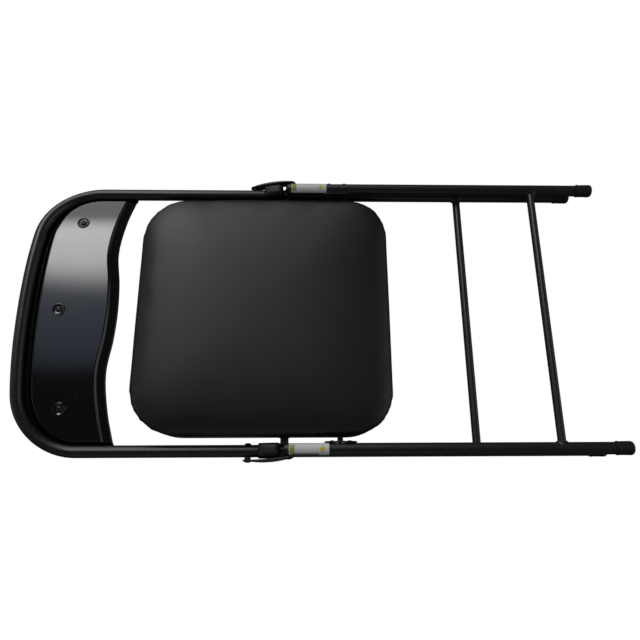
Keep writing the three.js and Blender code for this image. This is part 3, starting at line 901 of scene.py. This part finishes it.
@dataclass
class BackRest(Part):
    """The bowed sheet in the top of the frame, its pad and the three screws that hold it."""

    inset: float = 6.0
    side_y: float = -313.0
    low_x: tuple = (0.0, 46.0, 100.0, 158.0, 215.0)
    low_y: tuple = (-322.5, -324.7, -331.7, -326.2, -314.5)
    sheet_t: float = 1.3
    border: tuple = (18.0, 9.5)
    border_drop: float = 8.0
    hem: float = 12.5
    hem_step: float = 2.0
    hem_drop: float = 5.0
    curl_r: float = 2.7
    screws: tuple = (("left", 158.0, -396.0), ("centre", 0.0, -414.0), ("right", -158.0, -396.0))

    def build(self) -> None:
        """Builds the sheet, the pad and the fasteners."""
        self.place(self.panel(), PANEL_ENAMEL, "back_panel")
        pad = self.pad()
        self.place(pad, SEAT_VINYL, "back_pad")
        for name, x, y in self.screws:
            self.place(self.cup(name, x, y), PANEL_ENAMEL, f"screw_cup_{name}")
            self.place(self.screw(name, x, y), RIVET_STEEL, f"back_screw_{name}")

    def low_edge(self, x: Array) -> Array:
        """The sheet's wavy lower edge: a cubic through its knots, the same on both sides."""
        knots_x = np.array([-v for v in self.low_x[:0:-1]] + list(self.low_x))
        knots_y = np.array(list(self.low_y[:0:-1]) + list(self.low_y))
        slopes = np.gradient(knots_y, knots_x)
        place = np.clip(np.searchsorted(knots_x, x) - 1, 0, len(knots_x) - 2)
        width = knots_x[place + 1] - knots_x[place]
        t = (x - knots_x[place]) / width
        start = (1 + 2 * t) * (1 - t) ** 2 * knots_y[place] + t * (1 - t) ** 2 * width * slopes[place]
        end = t**2 * (3 - 2 * t) * knots_y[place + 1] + t**2 * (t - 1) * width * slopes[place + 1]
        return start + end

    def panel(self) -> bpy.types.Object:
        """The formed sheet.

        A row of the grid runs from the tube to the lower edge at one x. The height is the bow,
        less the drop of the channel along the tube, less that of the sloping band along the
        lower edge, and the last rows curl under along a circle square to that edge. The two
        drops join as the fourth root of the sum of their fourth powers. The channel is wide
        along the top rail and narrow along the legs.
        """
        side = self.plan.leg_x - self.inset
        loop = self.plan.top_loop(self.inset)
        x = side * np.sin(np.linspace(-1.0, 1.0, 301) * math.pi / 2)
        order = np.argsort(loop[:, 0])
        y_top = np.interp(x, loop[order, 0], loop[order, 1])
        y_low = self.low_edge(x) - self.curl_r
        v = 0.5 - 0.5 * np.cos(np.linspace(0.0, math.pi, 111))
        ys = y_top[:, None] + (y_low - y_top)[:, None] * v[None, :]
        xs = np.broadcast_to(x[:, None], ys.shape)
        right_side = np.linspace([side, self.side_y], loop[0], 40)
        left_side = np.linspace(loop[-1], [-side, self.side_y], 40)
        rim = np.concatenate([right_side, loop, left_side])
        to_tube = self.distance(xs, ys, rim)
        to_hem = self.distance(xs, ys, np.stack([x, y_low], axis=1))
        wide, narrow = self.border
        border = wide - (wide - narrow) * ease((abs(xs) - 0.7 * side) / (0.26 * side))
        drop = self.border_drop * (1.0 - ease((to_tube / border - 0.5) / 0.5))
        lower = np.clip(1.0 - to_hem / self.hem, 0.0, 1.0)
        hem_drop = self.hem_step * ease(lower / 0.2) + self.hem_drop * lower
        zs = self.plan.bow_z(xs) + 0.75 - (drop**4 + hem_drop**4) ** 0.25
        sheet = np.stack([xs, ys, zs], axis=-1)
        edge = sheet[:, -1]
        along = unit(np.gradient(edge, axis=0))
        away = unit(np.cross(along, np.broadcast_to([0.0, 0.0, 1.0], along.shape)))
        away *= np.sign(away[:, 1:2])
        a = np.radians(np.linspace(12.0, 205.0, 14))[None, :, None]
        down = np.array([0.0, 0.0, -1.0])
        curl = edge[:, None] + self.curl_r * (np.sin(a) * away[:, None] + (1.0 - np.cos(a)) * down)
        grid = np.concatenate([sheet, curl], axis=1)
        made = Shape("formed_back_sheet").add(grid[:, ::-1], wrap=False).build(60.0, outwards=False)
        wall = made.modifiers.new("wall", "SOLIDIFY")
        wall.thickness = self.sheet_t * MM
        wall.offset = -1.0
        return made

    @staticmethod
    def distance(xs: Array, ys: Array, line: Array) -> Array:
        """Distance of each grid point from the nearest of a line's points."""
        dx = xs[..., None] - line[:, 0]
        dy = ys[..., None] - line[:, 1]
        return np.sqrt((dx**2 + dy**2).min(axis=-1))

    def pad(self) -> bpy.types.Object:
        """The pad on the sheet's front: a crowned closed form that swells under pressure.

        Loops of a rounded rectangle shrink to its middle. The front face falls away from the
        bow by the thickness times a root of one less a high power of the loop's size.
        """
        loop = rounded_loop(185.0, -445.5, -341.5, (72.0, 27.0))
        middle = np.array([0.0, -392.0])
        rows = np.array([
            (0.0, 1.2), (0.3, 1.2), (0.55, 1.2), (0.75, 1.2), (0.88, 1.2), (0.95, 1.6), (0.985, 2.6),
            (1.0, 4.5), (1.0, 8.0), (0.985, 10.4), (0.95, 12.2), (0.88, 13.4), (0.75, 13.9), (0.5, 14.1),
            (0.25, 14.2), (0.0, 14.2),
        ])
        size, depth = rows.T
        flat = middle + size[:, None, None] * (loop - middle)
        z = self.plan.bow_z(flat[..., 0]) - depth[:, None]
        made = Shape("stuffed_back_pad").add(np.concatenate([flat, z[..., None]], axis=-1)).build(70.0)
        stuff(made, 4.0, 4.0, 3.0)
        points = points_of(made)
        ceiling = self.plan.bow_z(points[:, 0]) - 1.1
        points[:, 2] = np.minimum(points[:, 2], ceiling)
        points[:, 2] = np.maximum(points[:, 2], ceiling - 17.0)
        set_points(made, points)
        smooth(made.data, 70.0)
        add_levels(made)
        return made

    def on_sheet(self, grid: Array, x: float, y: float) -> Array:
        """Stands a piece built round the Z axis square on the bowed sheet at a place."""
        tilt = math.atan(3 * self.plan.bow * x * abs(x) / self.plan.leg_x**3)
        c, s = math.cos(tilt), math.sin(tilt)
        turn = np.array([[c, 0, s], [0, 1, 0], [-s, 0, c]])
        return grid @ turn.T + np.array([x, y, self.plan.bow_z(x)])

    def cup(self, name: str, x: float, y: float) -> bpy.types.Object:
        """A dished washer with a rolled rim under the screw's head."""
        foot = 0.85
        profile = [
            (foot, 4.4), (foot, 10.0), (foot + 0.7, 10.4), (foot + 1.7, 9.7), (foot + 1.9, 8.8),
            (foot + 1.2, 7.6), (foot + 0.6, 6.2), (foot + 0.5, 4.4), (foot, 4.4),
        ]
        grid = turned(soften(profile, 0.5), (0, 0, 0), (0, 0, 1), 48)
        return Shape(f"screw_dish_{name}").add(self.on_sheet(grid, x, y)).build(50.0)

    def screw(self, name: str, x: float, y: float) -> bpy.types.Object:
        """A button-head screw with a hexagon socket.

        The socket's rows take the radius of a hexagon: the inner radius over the cosine of the
        angle from the nearest flat.
        """
        seat = 1.5
        profile = np.array([
            (-0.7, 0.0), (-0.7, 2.4), (seat, 2.4), (seat, 4.7), (seat + 0.3, 4.9), (seat + 1.0, 4.6),
            (seat + 1.7, 3.8), (seat + 2.1, 2.7), (seat + 2.15, 1.75), (seat + 2.0, 1.6), (seat + 0.7, 1.55),
            (seat + 0.5, 0.0),
        ])
        sides = 48
        a = ring_angles(sides)
        hexagon = 1.0 / np.cos((a + math.pi / 6) % (math.pi / 3) - math.pi / 6)
        factor = np.ones((len(profile), sides))
        factor[8:11] = hexagon / hexagon.max() * 1.08
        grid = turned(profile, (0, 0, 0), (0, 0, 1), sides, factor)
        return Shape(f"button_screw_{name}").add(self.on_sheet(grid, x, y)).build(34.0)


@dataclass
class SeatUnit(Part):
    """The pressed pan, the stuffed seat and the studs that the frame and the legs turn on."""

    half: float = 200.0
    front: float = -292.0
    rear: float = 117.0
    corners: tuple = (84.0, 74.0)
    height: float = 23.0
    wall: float = 1.5
    bulge: float = 2.0
    bracket_depth: float = 5.4
    frame_pivot_y: float = -52.0
    leg_pivot: tuple = (34.0, 18.3)

    def build(self) -> None:
        """Builds the pan, the stuffed seat and the four studs."""
        self.place(self.pan(), PANEL_ENAMEL, "seat_pan")
        seat = self.cushion()
        self.place(seat, SEAT_VINYL, "seat_cushion")
        for side in Side:
            self.place(self.frame_stud(side), RIVET_STEEL, f"seat_pivot_stud_{side.word}")
            self.place(self.leg_stud(side), RIVET_STEEL, f"leg_pivot_stud_{side.word}")

    def loop(self, grow: float) -> Array:
        """The pan's outline in plan, grown by a distance."""
        radii = (self.corners[0] + grow, self.corners[1] + grow)
        return rounded_loop(self.half + grow, self.front - grow, self.rear + grow, radii)

    def pan(self) -> bpy.types.Object:
        """The pressed tray with a rolled rim and stamped ribs.

        Rows run from the middle of the underside out, up the wall, round the rim and back
        along the inside. The ribs lift the floor by a soft ridge along two crossing lines and
        round a ring.
        """
        middle = np.array([0.0, (self.front + self.rear) / 2])
        grow = np.array([0.0, 0.0, 0.15, 0.6, 1.1, 0.8, 0.0, -0.9, -1.5, -1.5, -1.8, -2.6])
        rise = np.array([2.6, 18.6, 20.6, 21.6, 22.4, 23.3, 23.7, 23.4, 22.4, 4.0, 2.6, 1.9])
        floor = np.linspace(0.0, 1.0, 44)
        turn = np.radians(np.linspace(0.0, 80.0, 5))
        under = np.stack([-3.0 + 3.0 * np.sin(turn), 3.0 - 3.0 * np.cos(turn)], axis=1)
        outer = self.loop(-3.0)
        rows = [np.column_stack([middle + s * (outer - middle), np.zeros(len(outer))]) for s in floor[:-1]]
        rows += [np.column_stack([self.loop(g), np.full(len(outer), h)]) for g, h in under]
        rows += [np.column_stack([self.loop(g), np.full(len(outer), h)]) for g, h in zip(grow, rise)]
        inner = self.loop(-4.0)
        top = np.full(len(inner), 1.5)
        rows += [np.column_stack([middle + s * (inner - middle), top]) for s in floor[::-1]]
        grid = np.array(rows)
        grid[..., 2] += self.ribs(grid[..., 0], grid[..., 1] - middle[1]) * (grid[..., 2] < 1.7)
        return Shape("pressed_seat_pan").add(grid).build(45.0)

    def ribs(self, x: Array, y: Array) -> Array:
        """Height of the ribs stamped into the floor: soft ridges, cosine squared in section."""
        cross = np.minimum(abs(x - 0.99 * y), abs(x + 0.99 * y)) / 9.0
        ring = abs(np.hypot(x, y) - 62.0) / 9.0
        ridge = np.clip(1.0 - np.minimum(cross + 9.0 * (np.hypot(x, y) < 62.0), ring), 0.0, 1.0)
        inside = 1.0 - ease((np.maximum(abs(x) / self.half, abs(y) / 203.0) - 0.72) / 0.08)
        return 1.1 * ease(ridge) * np.where(ring < 1.0, 1.0, inside)

    def cushion(self) -> bpy.types.Object:
        """The stuffed seat: a crowned closed form that swells under pressure.

        A row gives how far a loop stands out from the pan's outline, and its height. Below the
        rim the form fits in the pan, at the rim it swells past it, and above it the loops
        shrink to the middle of a dome, with corners that grow sharper with height.
        """
        middle = np.array([0.0, (self.front + self.rear) / 2])
        reach = self.half
        rows = np.array([
            (-reach, 3.2), (-150.0, 3.2), (-90.0, 3.2), (-45.0, 3.2), (-14.0, 3.2), (-5.5, 3.6), (-2.9, 6.0),
            (-2.6, 12.0), (-2.4, 19.0), (-1.0, 22.6), (1.2, 24.4), (2.8, 26.8), (3.4, 29.6), (3.0, 33.0),
            (1.7, 36.0), (-0.9, 38.2), (-4.6, 40.0), (-10.5, 41.9), (-20.0, 43.9), (-34.0, 46.1),
            (-54.0, 48.4), (-84.0, 50.6), (-120.0, 51.9), (-160.0, 52.5), (-reach, 52.6),
        ])
        sharper = np.interp(rows[:, 1], [22.0, 30.0, 40.0], [0.0, 5.0, 22.0])
        front, rear = self.corners
        loops = np.array([
            rounded_loop(reach, self.front, self.rear, (front - r, rear - r), self.bulge) for r in sharper
        ])
        scale = (1.0 + rows[:, 0] / reach)[:, None, None]
        flat = middle + scale * (loops - middle)
        z = np.broadcast_to(rows[:, 1][:, None], flat.shape[:2])
        made = Shape("stuffed_seat").add(np.concatenate([flat, z[..., None]], axis=-1)).build(70.0)
        stuff(made, 5.0, 3.5, 4.0)
        points = self.settle(points_of(made))
        set_points(made, points)
        log.info("the stuffed seat spans %s to %s", points.min(axis=0).round(1), points.max(axis=0).round(1))
        smooth(made.data, 70.0)
        add_levels(made)
        return made

    def settle(self, points: Array) -> Array:
        """Keeps what lies below the rim inside the pan, and the underside on its floor.

        The distance past the pan's inner wall is worked out as for a rectangle with round
        corners, and a point below the rim moves back by it.
        """
        middle = (self.front + self.rear) / 2
        flat = points[:, :2] - [0.0, middle]
        radius = np.where(flat[:, 1:] < 0.0, *self.corners)
        half = np.array([self.half, (self.rear - self.front) / 2]) - radius
        off = flat - np.clip(flat, -half, half)
        low = 1.0 - ease((points[:, 2] - self.height + 0.5) / 3.5)
        limit = radius[:, 0] - self.wall - 0.4
        past = np.maximum(np.linalg.norm(off, axis=1) - limit, 0.0) * low
        points[:, :2] -= unit(off) * past[:, None]
        points[:, 2] = np.maximum(points[:, 2], 2.9)
        return points

    def frame_stud(self, side: Side) -> bpy.types.Object:
        """The stud that the front frame turns on: a flanged collar, a shank and a domed head."""
        start = self.half + 0.2
        collar = self.plan.leg_x - self.plan.tube_r - self.plan.gap
        head = self.plan.leg_x + self.plan.tube_r + self.plan.gap
        profile = [
            (start, 0.0), (start, 8.4), (start + 1.1, 8.4), (start + 1.6, 6.4), (collar - 1.4, 6.4),
            (collar - 1.0, 7.4), (collar, 7.4), (collar, 3.9), (head, 3.9), (head, 5.7), (head + 0.9, 5.2),
            (head + 1.7, 3.4), (head + 2.2, 0.0),
        ]
        name = f"frame_pivot_{side.word}"
        return self.turned_x(name, profile, side, self.frame_pivot_y, self.plan.frame_z, 0.45)

    def leg_stud(self, side: Side) -> bpy.types.Object:
        """The smaller stud that the leg's bracket turns on."""
        y, z = self.leg_pivot
        start = self.half + 0.2
        plate = self.plan.leg_x - self.plan.tube_r - self.plan.gap - self.bracket_depth
        profile = [
            (start, 0.0), (start, 6.6), (start + 1.0, 6.6), (start + 1.4, 4.5), (plate, 4.5),
            (plate, 3.3), (plate + 2.6, 3.3), (plate + 2.6, 4.6), (plate + 3.6, 3.8), (plate + 4.0, 0.0),
        ]
        return self.turned_x(f"leg_pivot_{side.word}", profile, side, y, z, 0.4)


@dataclass
class RearLegs(Part):
    """Both rear legs with their brace, plugs, feet, brackets, rivets and labels."""

    top_y: float = -50.0
    foot_y: float = 478.6
    brace_y: float = 371.0
    brace_r: float = 6.35
    pivot: tuple = (34.0, 18.3)
    rivet_step: float = 13.3
    bracket_t: float = 2.0
    dish: float = 3.4
    label: tuple = (-44.0, 16.0)

    def build(self) -> None:
        """Builds every piece of the rear legs."""
        bar = self.brace("rear_cross_bar", self.brace_y, self.plan.rear_z, self.brace_r)
        self.place(bar, FRAME_ENAMEL, "rear_brace")
        for side in Side:
            word = side.word
            x = side.value * self.plan.leg_x
            self.place(self.leg(side), FRAME_ENAMEL, f"rear_leg_{word}")
            self.place(self.plug(side), FOOT_PLASTIC, f"leg_plug_{word}")
            cap = self.foot(f"rear_cap_{word}", x, self.foot_y, self.plan.rear_z)
            self.place(cap, FOOT_PLASTIC, f"rear_foot_{word}")
            self.place(self.bracket(side), FRAME_ENAMEL, f"leg_bracket_{word}")
            for end, step in (("upper", -self.rivet_step), ("lower", self.rivet_step)):
                pin = self.bracket_rivet(side, end, self.pivot[0] + step)
                self.place(pin, RIVET_STEEL, f"bracket_rivet_{word}_{end}")
            self.place(self.sticker(side), WHITE_FILM, f"label_{word}")

    def leg(self, side: Side) -> bpy.types.Object:
        """A straight tube whose upper end is necked in a little over its plug."""
        rest = np.linspace(-46.0, self.foot_y - self.plan.foot_tip, 40)
        y = np.concatenate([[self.top_y, self.top_y + 0.6, self.top_y + 1.6], rest])
        x = np.full(len(y), side.value * self.plan.leg_x)
        path = np.stack([x, y, np.full(len(y), self.plan.rear_z)], axis=1)
        radius = np.full(len(y), self.plan.tube_r)
        radius[:3] -= [0.7, 0.25, 0.05]
        return Shape(f"leg_tube_{side.word}").add(closed_ends(sweep(path, radius, 36))).build(60.0)

    def plug(self, side: Side) -> bpy.types.Object:
        """The domed plug in a leg's upper end, with a thin flange on the tube's edge."""
        profile = [
            (12.0, 0.0), (12.0, 7.7), (-0.3, 7.7), (-0.3, 9.1), (-1.3, 9.1), (-2.4, 8.2), (-3.3, 6.0),
            (-3.8, 3.0), (-3.9, 0.0),
        ]
        where = (side.value * self.plan.leg_x, self.top_y, self.plan.rear_z)
        return Shape(f"top_plug_{side.word}").add(turned(soften(profile, 0.5), where, (0, 1, 0), 36)).build()

    def bracket(self, side: Side) -> bpy.types.Object:
        """The pressed bracket: a rounded triangle with a long edge on the leg.

        Rings of its outline shrink to the middle on both faces, and the edge between the faces
        is round. It rises like a low cone towards the seat round the pivot.
        """
        y0, z0 = self.pivot
        corners = (
            (y0 + 18.0, self.plan.rear_z, 7.0, -60.0, 90.0),
            (y0 - 18.0, self.plan.rear_z, 7.0, 90.0, 240.0),
            (y0, z0, 8.0, 240.0, 300.0),
        )
        arcs = []
        for y, z, r, start, end in corners:
            a = np.radians(np.linspace(start, end, 16))
            arcs.append(np.stack([y + r * np.cos(a), z + r * np.sin(a)], axis=1))
        outline = np.concatenate(arcs)
        middle = np.array([y0, (z0 + 2 * self.plan.rear_z) / 3])
        inner = self.plan.leg_x - self.plan.tube_r - self.plan.gap - self.bracket_t
        rows = np.array([
            (0.0, 0.0), (0.2, 0.0), (0.4, 0.0), (0.55, 0.0), (0.7, 0.0), (0.82, 0.0), (0.95, 0.0),
            (0.985, 0.2), (1.0, 0.6), (1.0, 1.4), (0.985, 1.8), (0.95, 2.0), (0.8, 2.0), (0.6, 2.0),
            (0.4, 2.0), (0.2, 2.0), (0.0, 2.0),
        ])
        size, depth = rows.T
        flat = middle + size[:, None, None] * (outline - middle)
        reach = np.hypot(flat[..., 0] - y0, flat[..., 1] - z0)
        dish = self.dish * (1.0 - np.clip(reach / 23.0, 0.0, 1.0))
        x = side.value * (inner + depth[:, None] - dish)[..., None]
        return Shape(f"pivot_bracket_{side.word}").add(np.concatenate([x, flat], axis=-1)).build(50.0)

    def bracket_rivet(self, side: Side, end: str, y: float) -> bpy.types.Object:
        """A rivet through the bracket and the leg, with a low head outside."""
        inner = self.plan.leg_x - self.plan.tube_r - self.plan.gap - self.bracket_t - self.plan.gap
        outer = self.plan.leg_x + self.plan.tube_r
        profile = [
            (inner - 1.4, 0.0), (inner - 1.1, 2.4), (inner, 4.0), (inner, 2.1), (outer - 1.0, 2.1),
            (outer - 1.0, 4.2), (outer + 0.7, 3.6), (outer + 1.5, 2.0), (outer + 1.7, 0.0),
        ]
        name = f"bracket_pin_{side.word}_{end}"
        return self.turned_x(name, profile, side, y, self.plan.rear_z, 0.4)

    def sticker(self, side: Side) -> bpy.types.Object:
        """A blank sticker bent over the rear side of the leg: a thin arc along the tube."""
        reach = math.radians(62.0)
        a = np.linspace(-reach, reach, 30)
        outer, inner = self.plan.tube_r + 0.42, self.plan.tube_r + 0.08
        y = np.linspace(self.label[0], self.label[1], 25)
        angle = np.concatenate([a, a[::-1]])
        radius = np.concatenate([np.full(30, outer), np.full(30, inner)])
        x = side.value * self.plan.leg_x + radius * np.sin(angle)
        z = self.plan.rear_z + radius * np.cos(angle)
        ring = np.stack([x, np.zeros_like(x), z], axis=1)
        grid = ring[None] + y[:, None, None] * np.array([0.0, 1.0, 0.0])
        fold = (grid + grid[:, ::-1]) / 2
        return Shape(f"blank_label_{side.word}").add(np.concatenate([fold[:1], grid, fold[-1:]])).build(30.0)


@dataclass
class HingeLinks(Part):
    """The flat strap on each side that joins the front frame to the top of the rear leg."""

    low: tuple = (-108.0, 12.0)
    high: tuple = (-45.0, 34.5)
    strap_x: float = 234.3
    strap_t: float = 1.8
    radius: float = 8.0
    bend: float = 3.4
    lean: float = 2.6
    flange: float = 2.4

    def build(self) -> None:
        """Builds both links and the rivet at the end of each."""
        for side in Side:
            body = f"link_{side.word}"
            self.place(self.strap(side), FRAME_ENAMEL, f"hinge_link_{side.word}", body)
            self.place(self.end_rivet(side), RIVET_STEEL, f"link_end_rivet_{side.word}", body)

    def strap(self, side: Side) -> bpy.types.Object:
        """A strap with round ends that bows outwards and lies close to the leg at its top.

        A point of the outline is one end's centre plus the radius along an angle. Inner rings
        take a smaller radius, down to the line between the centres. The middle of the strap
        stands out by a low ridge, and its edges turn inwards as a flange.
        """
        low, high = np.array(self.low), np.array(self.high)
        along = math.atan2(*(high - low)[::-1])
        half = np.linspace(0.0, math.pi, 20)
        side_share = np.linspace(0.0, 1.0, 14)[1:-1]
        angle = np.concatenate([along + math.pi / 2 + half, np.full(12, along - math.pi / 2),
                                along - math.pi / 2 + half, np.full(12, along + math.pi / 2)])
        share = np.concatenate([np.zeros(20), side_share, np.ones(20), side_share[::-1]])
        core = low + share[:, None] * (high - low)
        arrow = np.stack([np.cos(angle), np.sin(angle)], axis=1)
        size = np.array([0.0, 0.4, 0.7, 0.93, 0.98, 1.0, 1.0, 0.98, 0.93, 0.7, 0.4, 0.0]) * self.radius
        depth = np.array([0.0, 0.0, 0.0, 0.0, 0.15, 0.5, 1.3, 1.65, 1.8, 1.8, 1.8, 1.8])
        flat = core + size[:, None, None] * arrow
        crest = 0.7 * ease(1.0 - abs(share - 0.5) / 0.32)
        ridge = crest[None, :] * np.clip(1.0 - size / 7.0, 0.0, 1.0)[:, None]
        swell = np.sin(math.pi * share) ** 0.8
        inward = self.flange * swell * (depth < 1.0)[:, None] * (size > 5.0)[:, None]
        bow = self.bend * swell - self.lean * share
        x = side.value * (self.strap_x + depth[:, None] + ridge + bow - inward)
        grid = np.concatenate([x[..., None], flat], axis=-1)
        return Shape(f"link_strap_{side.word}").add(grid).build(45.0)

    def end_rivet(self, side: Side) -> bpy.types.Object:
        """The rivet at the top of the leg: a spacer inside the strap and a domed head outside."""
        inner = self.plan.leg_x + self.plan.tube_r + self.plan.gap
        plate = self.strap_x - self.lean
        face = plate + self.strap_t + 0.1
        profile = [
            (inner, 0.0), (inner, 5.0), (plate - 0.1, 5.0), (plate - 0.1, 3.0), (face, 3.0),
            (face, 6.0), (face + 0.9, 5.2), (face + 1.9, 3.0), (face + 2.3, 0.0),
        ]
        return self.turned_x(f"link_end_pin_{side.word}", profile, side, self.high[0], self.high[1], 0.5)


# ------------------------------------------------------------------ studio


@dataclass(frozen=True)
class Glow:
    """A soft light from one direction: even out to an angle, then fading to nothing at another."""

    direction: Point
    strength: float
    even: float
    ends: float
    colour: Colour

    def cosines(self) -> tuple[float, float]:
        """Cosines of the angle where the light ends and of the one where it starts to fade."""
        return math.cos(math.radians(self.ends)), math.cos(math.radians(self.even))


@dataclass
class Studio:
    """The camera, the pale floor and the soft light."""

    tilt: float = math.radians(18.0)
    yaw: float = math.radians(-1.323)
    roll: float = math.radians(-0.386)
    distance: float = 0.9743
    aim: Point = (0.0093, 0.00425, 0.012)
    focal: float = 590.6 / 640.0
    glows: tuple[Glow, ...] = (
        Glow((-0.55, -0.33, 0.77), 5.0, 5.0, 14.5, (1.0, 0.975, 0.955)),
        Glow((-0.80, -0.36, 0.45), 1.3, 10.0, 33.0, (1.0, 0.97, 0.97)),
        Glow((-0.33, -0.36, 0.87), 0.42, 0.0, 17.0, (0.72, 0.88, 1.15)),
        Glow((0.85, -0.1, 0.3), 0.2, 5.0, 34.0, (0.95, 0.97, 1.0)),
        Glow((0.05, 0.94, 0.34), 0.55, 8.0, 38.0, (1.0, 1.0, 1.0)),
        Glow((0.0, -0.95, 0.30), 0.28, 8.0, 38.0, (0.92, 0.95, 1.0)),
    )
    ambient: float = 0.03
    floor_z: float = -0.4155

    def build(self) -> None:
        """Sets up the camera, the floor and the surroundings."""
        self.camera()
        self.floor()
        self.surroundings()
        bpy.context.scene.view_settings.view_transform = "Standard"

    def camera(self) -> None:
        """The camera over the chair, tilted to the sitter's left.

        Its back direction has the sine of the tilt along X and the cosine along Z, turned
        slightly by the yaw. Its right direction is square to that and runs towards the feet.
        """
        level = math.cos(self.yaw)
        back = Vector((math.sin(self.tilt) * level, math.sin(self.yaw), math.cos(self.tilt) * level))
        right = Vector((-1.0, 0.0, 0.0)).cross(back).normalized()
        up = back.cross(right)
        rolled_right = right * math.cos(self.roll) + up * math.sin(self.roll)
        rolled_up = up * math.cos(self.roll) - right * math.sin(self.roll)
        data = bpy.data.cameras.new("camera")
        data.sensor_width = 36.0
        data.lens = self.focal * data.sensor_width
        data.clip_start, data.clip_end = 0.01, 50.0
        made = bpy.data.objects.new("camera", data)
        turn = Matrix((rolled_right, rolled_up, back)).transposed().to_4x4()
        made.matrix_world = Matrix.Translation(Vector(self.aim) + back * self.distance) @ turn
        bpy.context.scene.collection.objects.link(made)
        bpy.context.scene.camera = made

    def floor(self) -> None:
        """A pale floor under the feet of the opened chair, without shadows."""
        half = 30.0
        corners = np.array([[-half, -half], [half, -half], [half, half], [-half, half]])
        corners = np.column_stack([corners, np.full(4, self.floor_z)])
        mesh = bpy.data.meshes.new("floor")
        mesh.from_pydata(corners.tolist(), [], [(0, 1, 2, 3)])
        made = bpy.data.objects.new("floor", mesh)
        bpy.context.scene.collection.objects.link(made)
        pale = bpy.data.materials.new("pale_floor")
        tree = Tree(pale)
        light = tree.node("ShaderNodeEmission", None, {"Color": (1.0, 1.0, 1.0, 1.0), "Strength": 1.0})
        tree.node("ShaderNodeOutputMaterial", None, {"Surface": Signal(tree, light.outputs[0])})
        mesh.materials.append(pale)
        made.visible_diffuse = False
        made.visible_glossy = False
        made.visible_shadow = False

    def surroundings(self) -> None:
        """Light that depends on its direction: a sum of soft-edged lobes over an even glow.

        A lobe is a smooth step of the cosine of the angle from its direction.
        """
        world = bpy.data.worlds.new("studio")
        bpy.context.scene.world = world
        tree = Tree(world)
        seen = tree.take("ShaderNodeTexCoord", "Generated", None, None)
        total = tree.take("ShaderNodeRGB", 0, None, None)
        total.socket.default_value = (self.ambient, self.ambient, self.ambient, 1.0)
        for glow in self.glows:
            axis = Vector(glow.direction).normalized()
            both = {0: seen, 1: axis}
            cosine = tree.take("ShaderNodeVectorMath", "Value", {"operation": "DOT_PRODUCT"}, both)
            outer, inner = glow.cosines()
            lobe = cosine.above((outer + inner) / 2, inner - outer) * glow.strength
            tinted = tree.take(
                "ShaderNodeVectorMath", "Vector", {"operation": "SCALE"}, {0: glow.colour, "Scale": lobe}
            )
            total = tree.take("ShaderNodeVectorMath", "Vector", {"operation": "ADD"}, {0: total, 1: tinted})
        lit = tree.node("ShaderNodeBackground", None, {"Color": total, "Strength": 1.0})
        plain = tree.node("ShaderNodeBackground", None, {"Color": (1.0, 1.0, 1.0, 1.0), "Strength": 1.0})
        straight = tree.take("ShaderNodeLightPath", "Is Camera Ray", None, None)
        both = {0: straight, 1: Signal(tree, lit.outputs[0]), 2: Signal(tree, plain.outputs[0])}
        mixed = tree.take("ShaderNodeMixShader", 0, None, both)
        tree.node("ShaderNodeOutputWorld", None, {"Surface": mixed})


def main() -> None:
    """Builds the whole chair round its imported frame."""
    logging.basicConfig(level=logging.INFO, format="%(name)s: %(message)s")
    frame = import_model()
    slots = {part["node"]: part["material_slot"] for part in frame["record"]["subparts"]}
    plan = Plan.from_frame()
    parts = [
        SeatUnit(plan, slots, "seat"),
        FrontFrame(plan, slots, "front_frame"),
        BackRest(plan, slots, "front_frame"),
        RearLegs(plan, slots, "rear_legs"),
        HingeLinks(plan, slots),
    ]
    for part in parts:
        part.build()
        log.info("%s has %d pieces", type(part).__name__, len(part.made))
    Studio().build()


if __name__ == "__main__":
    main()
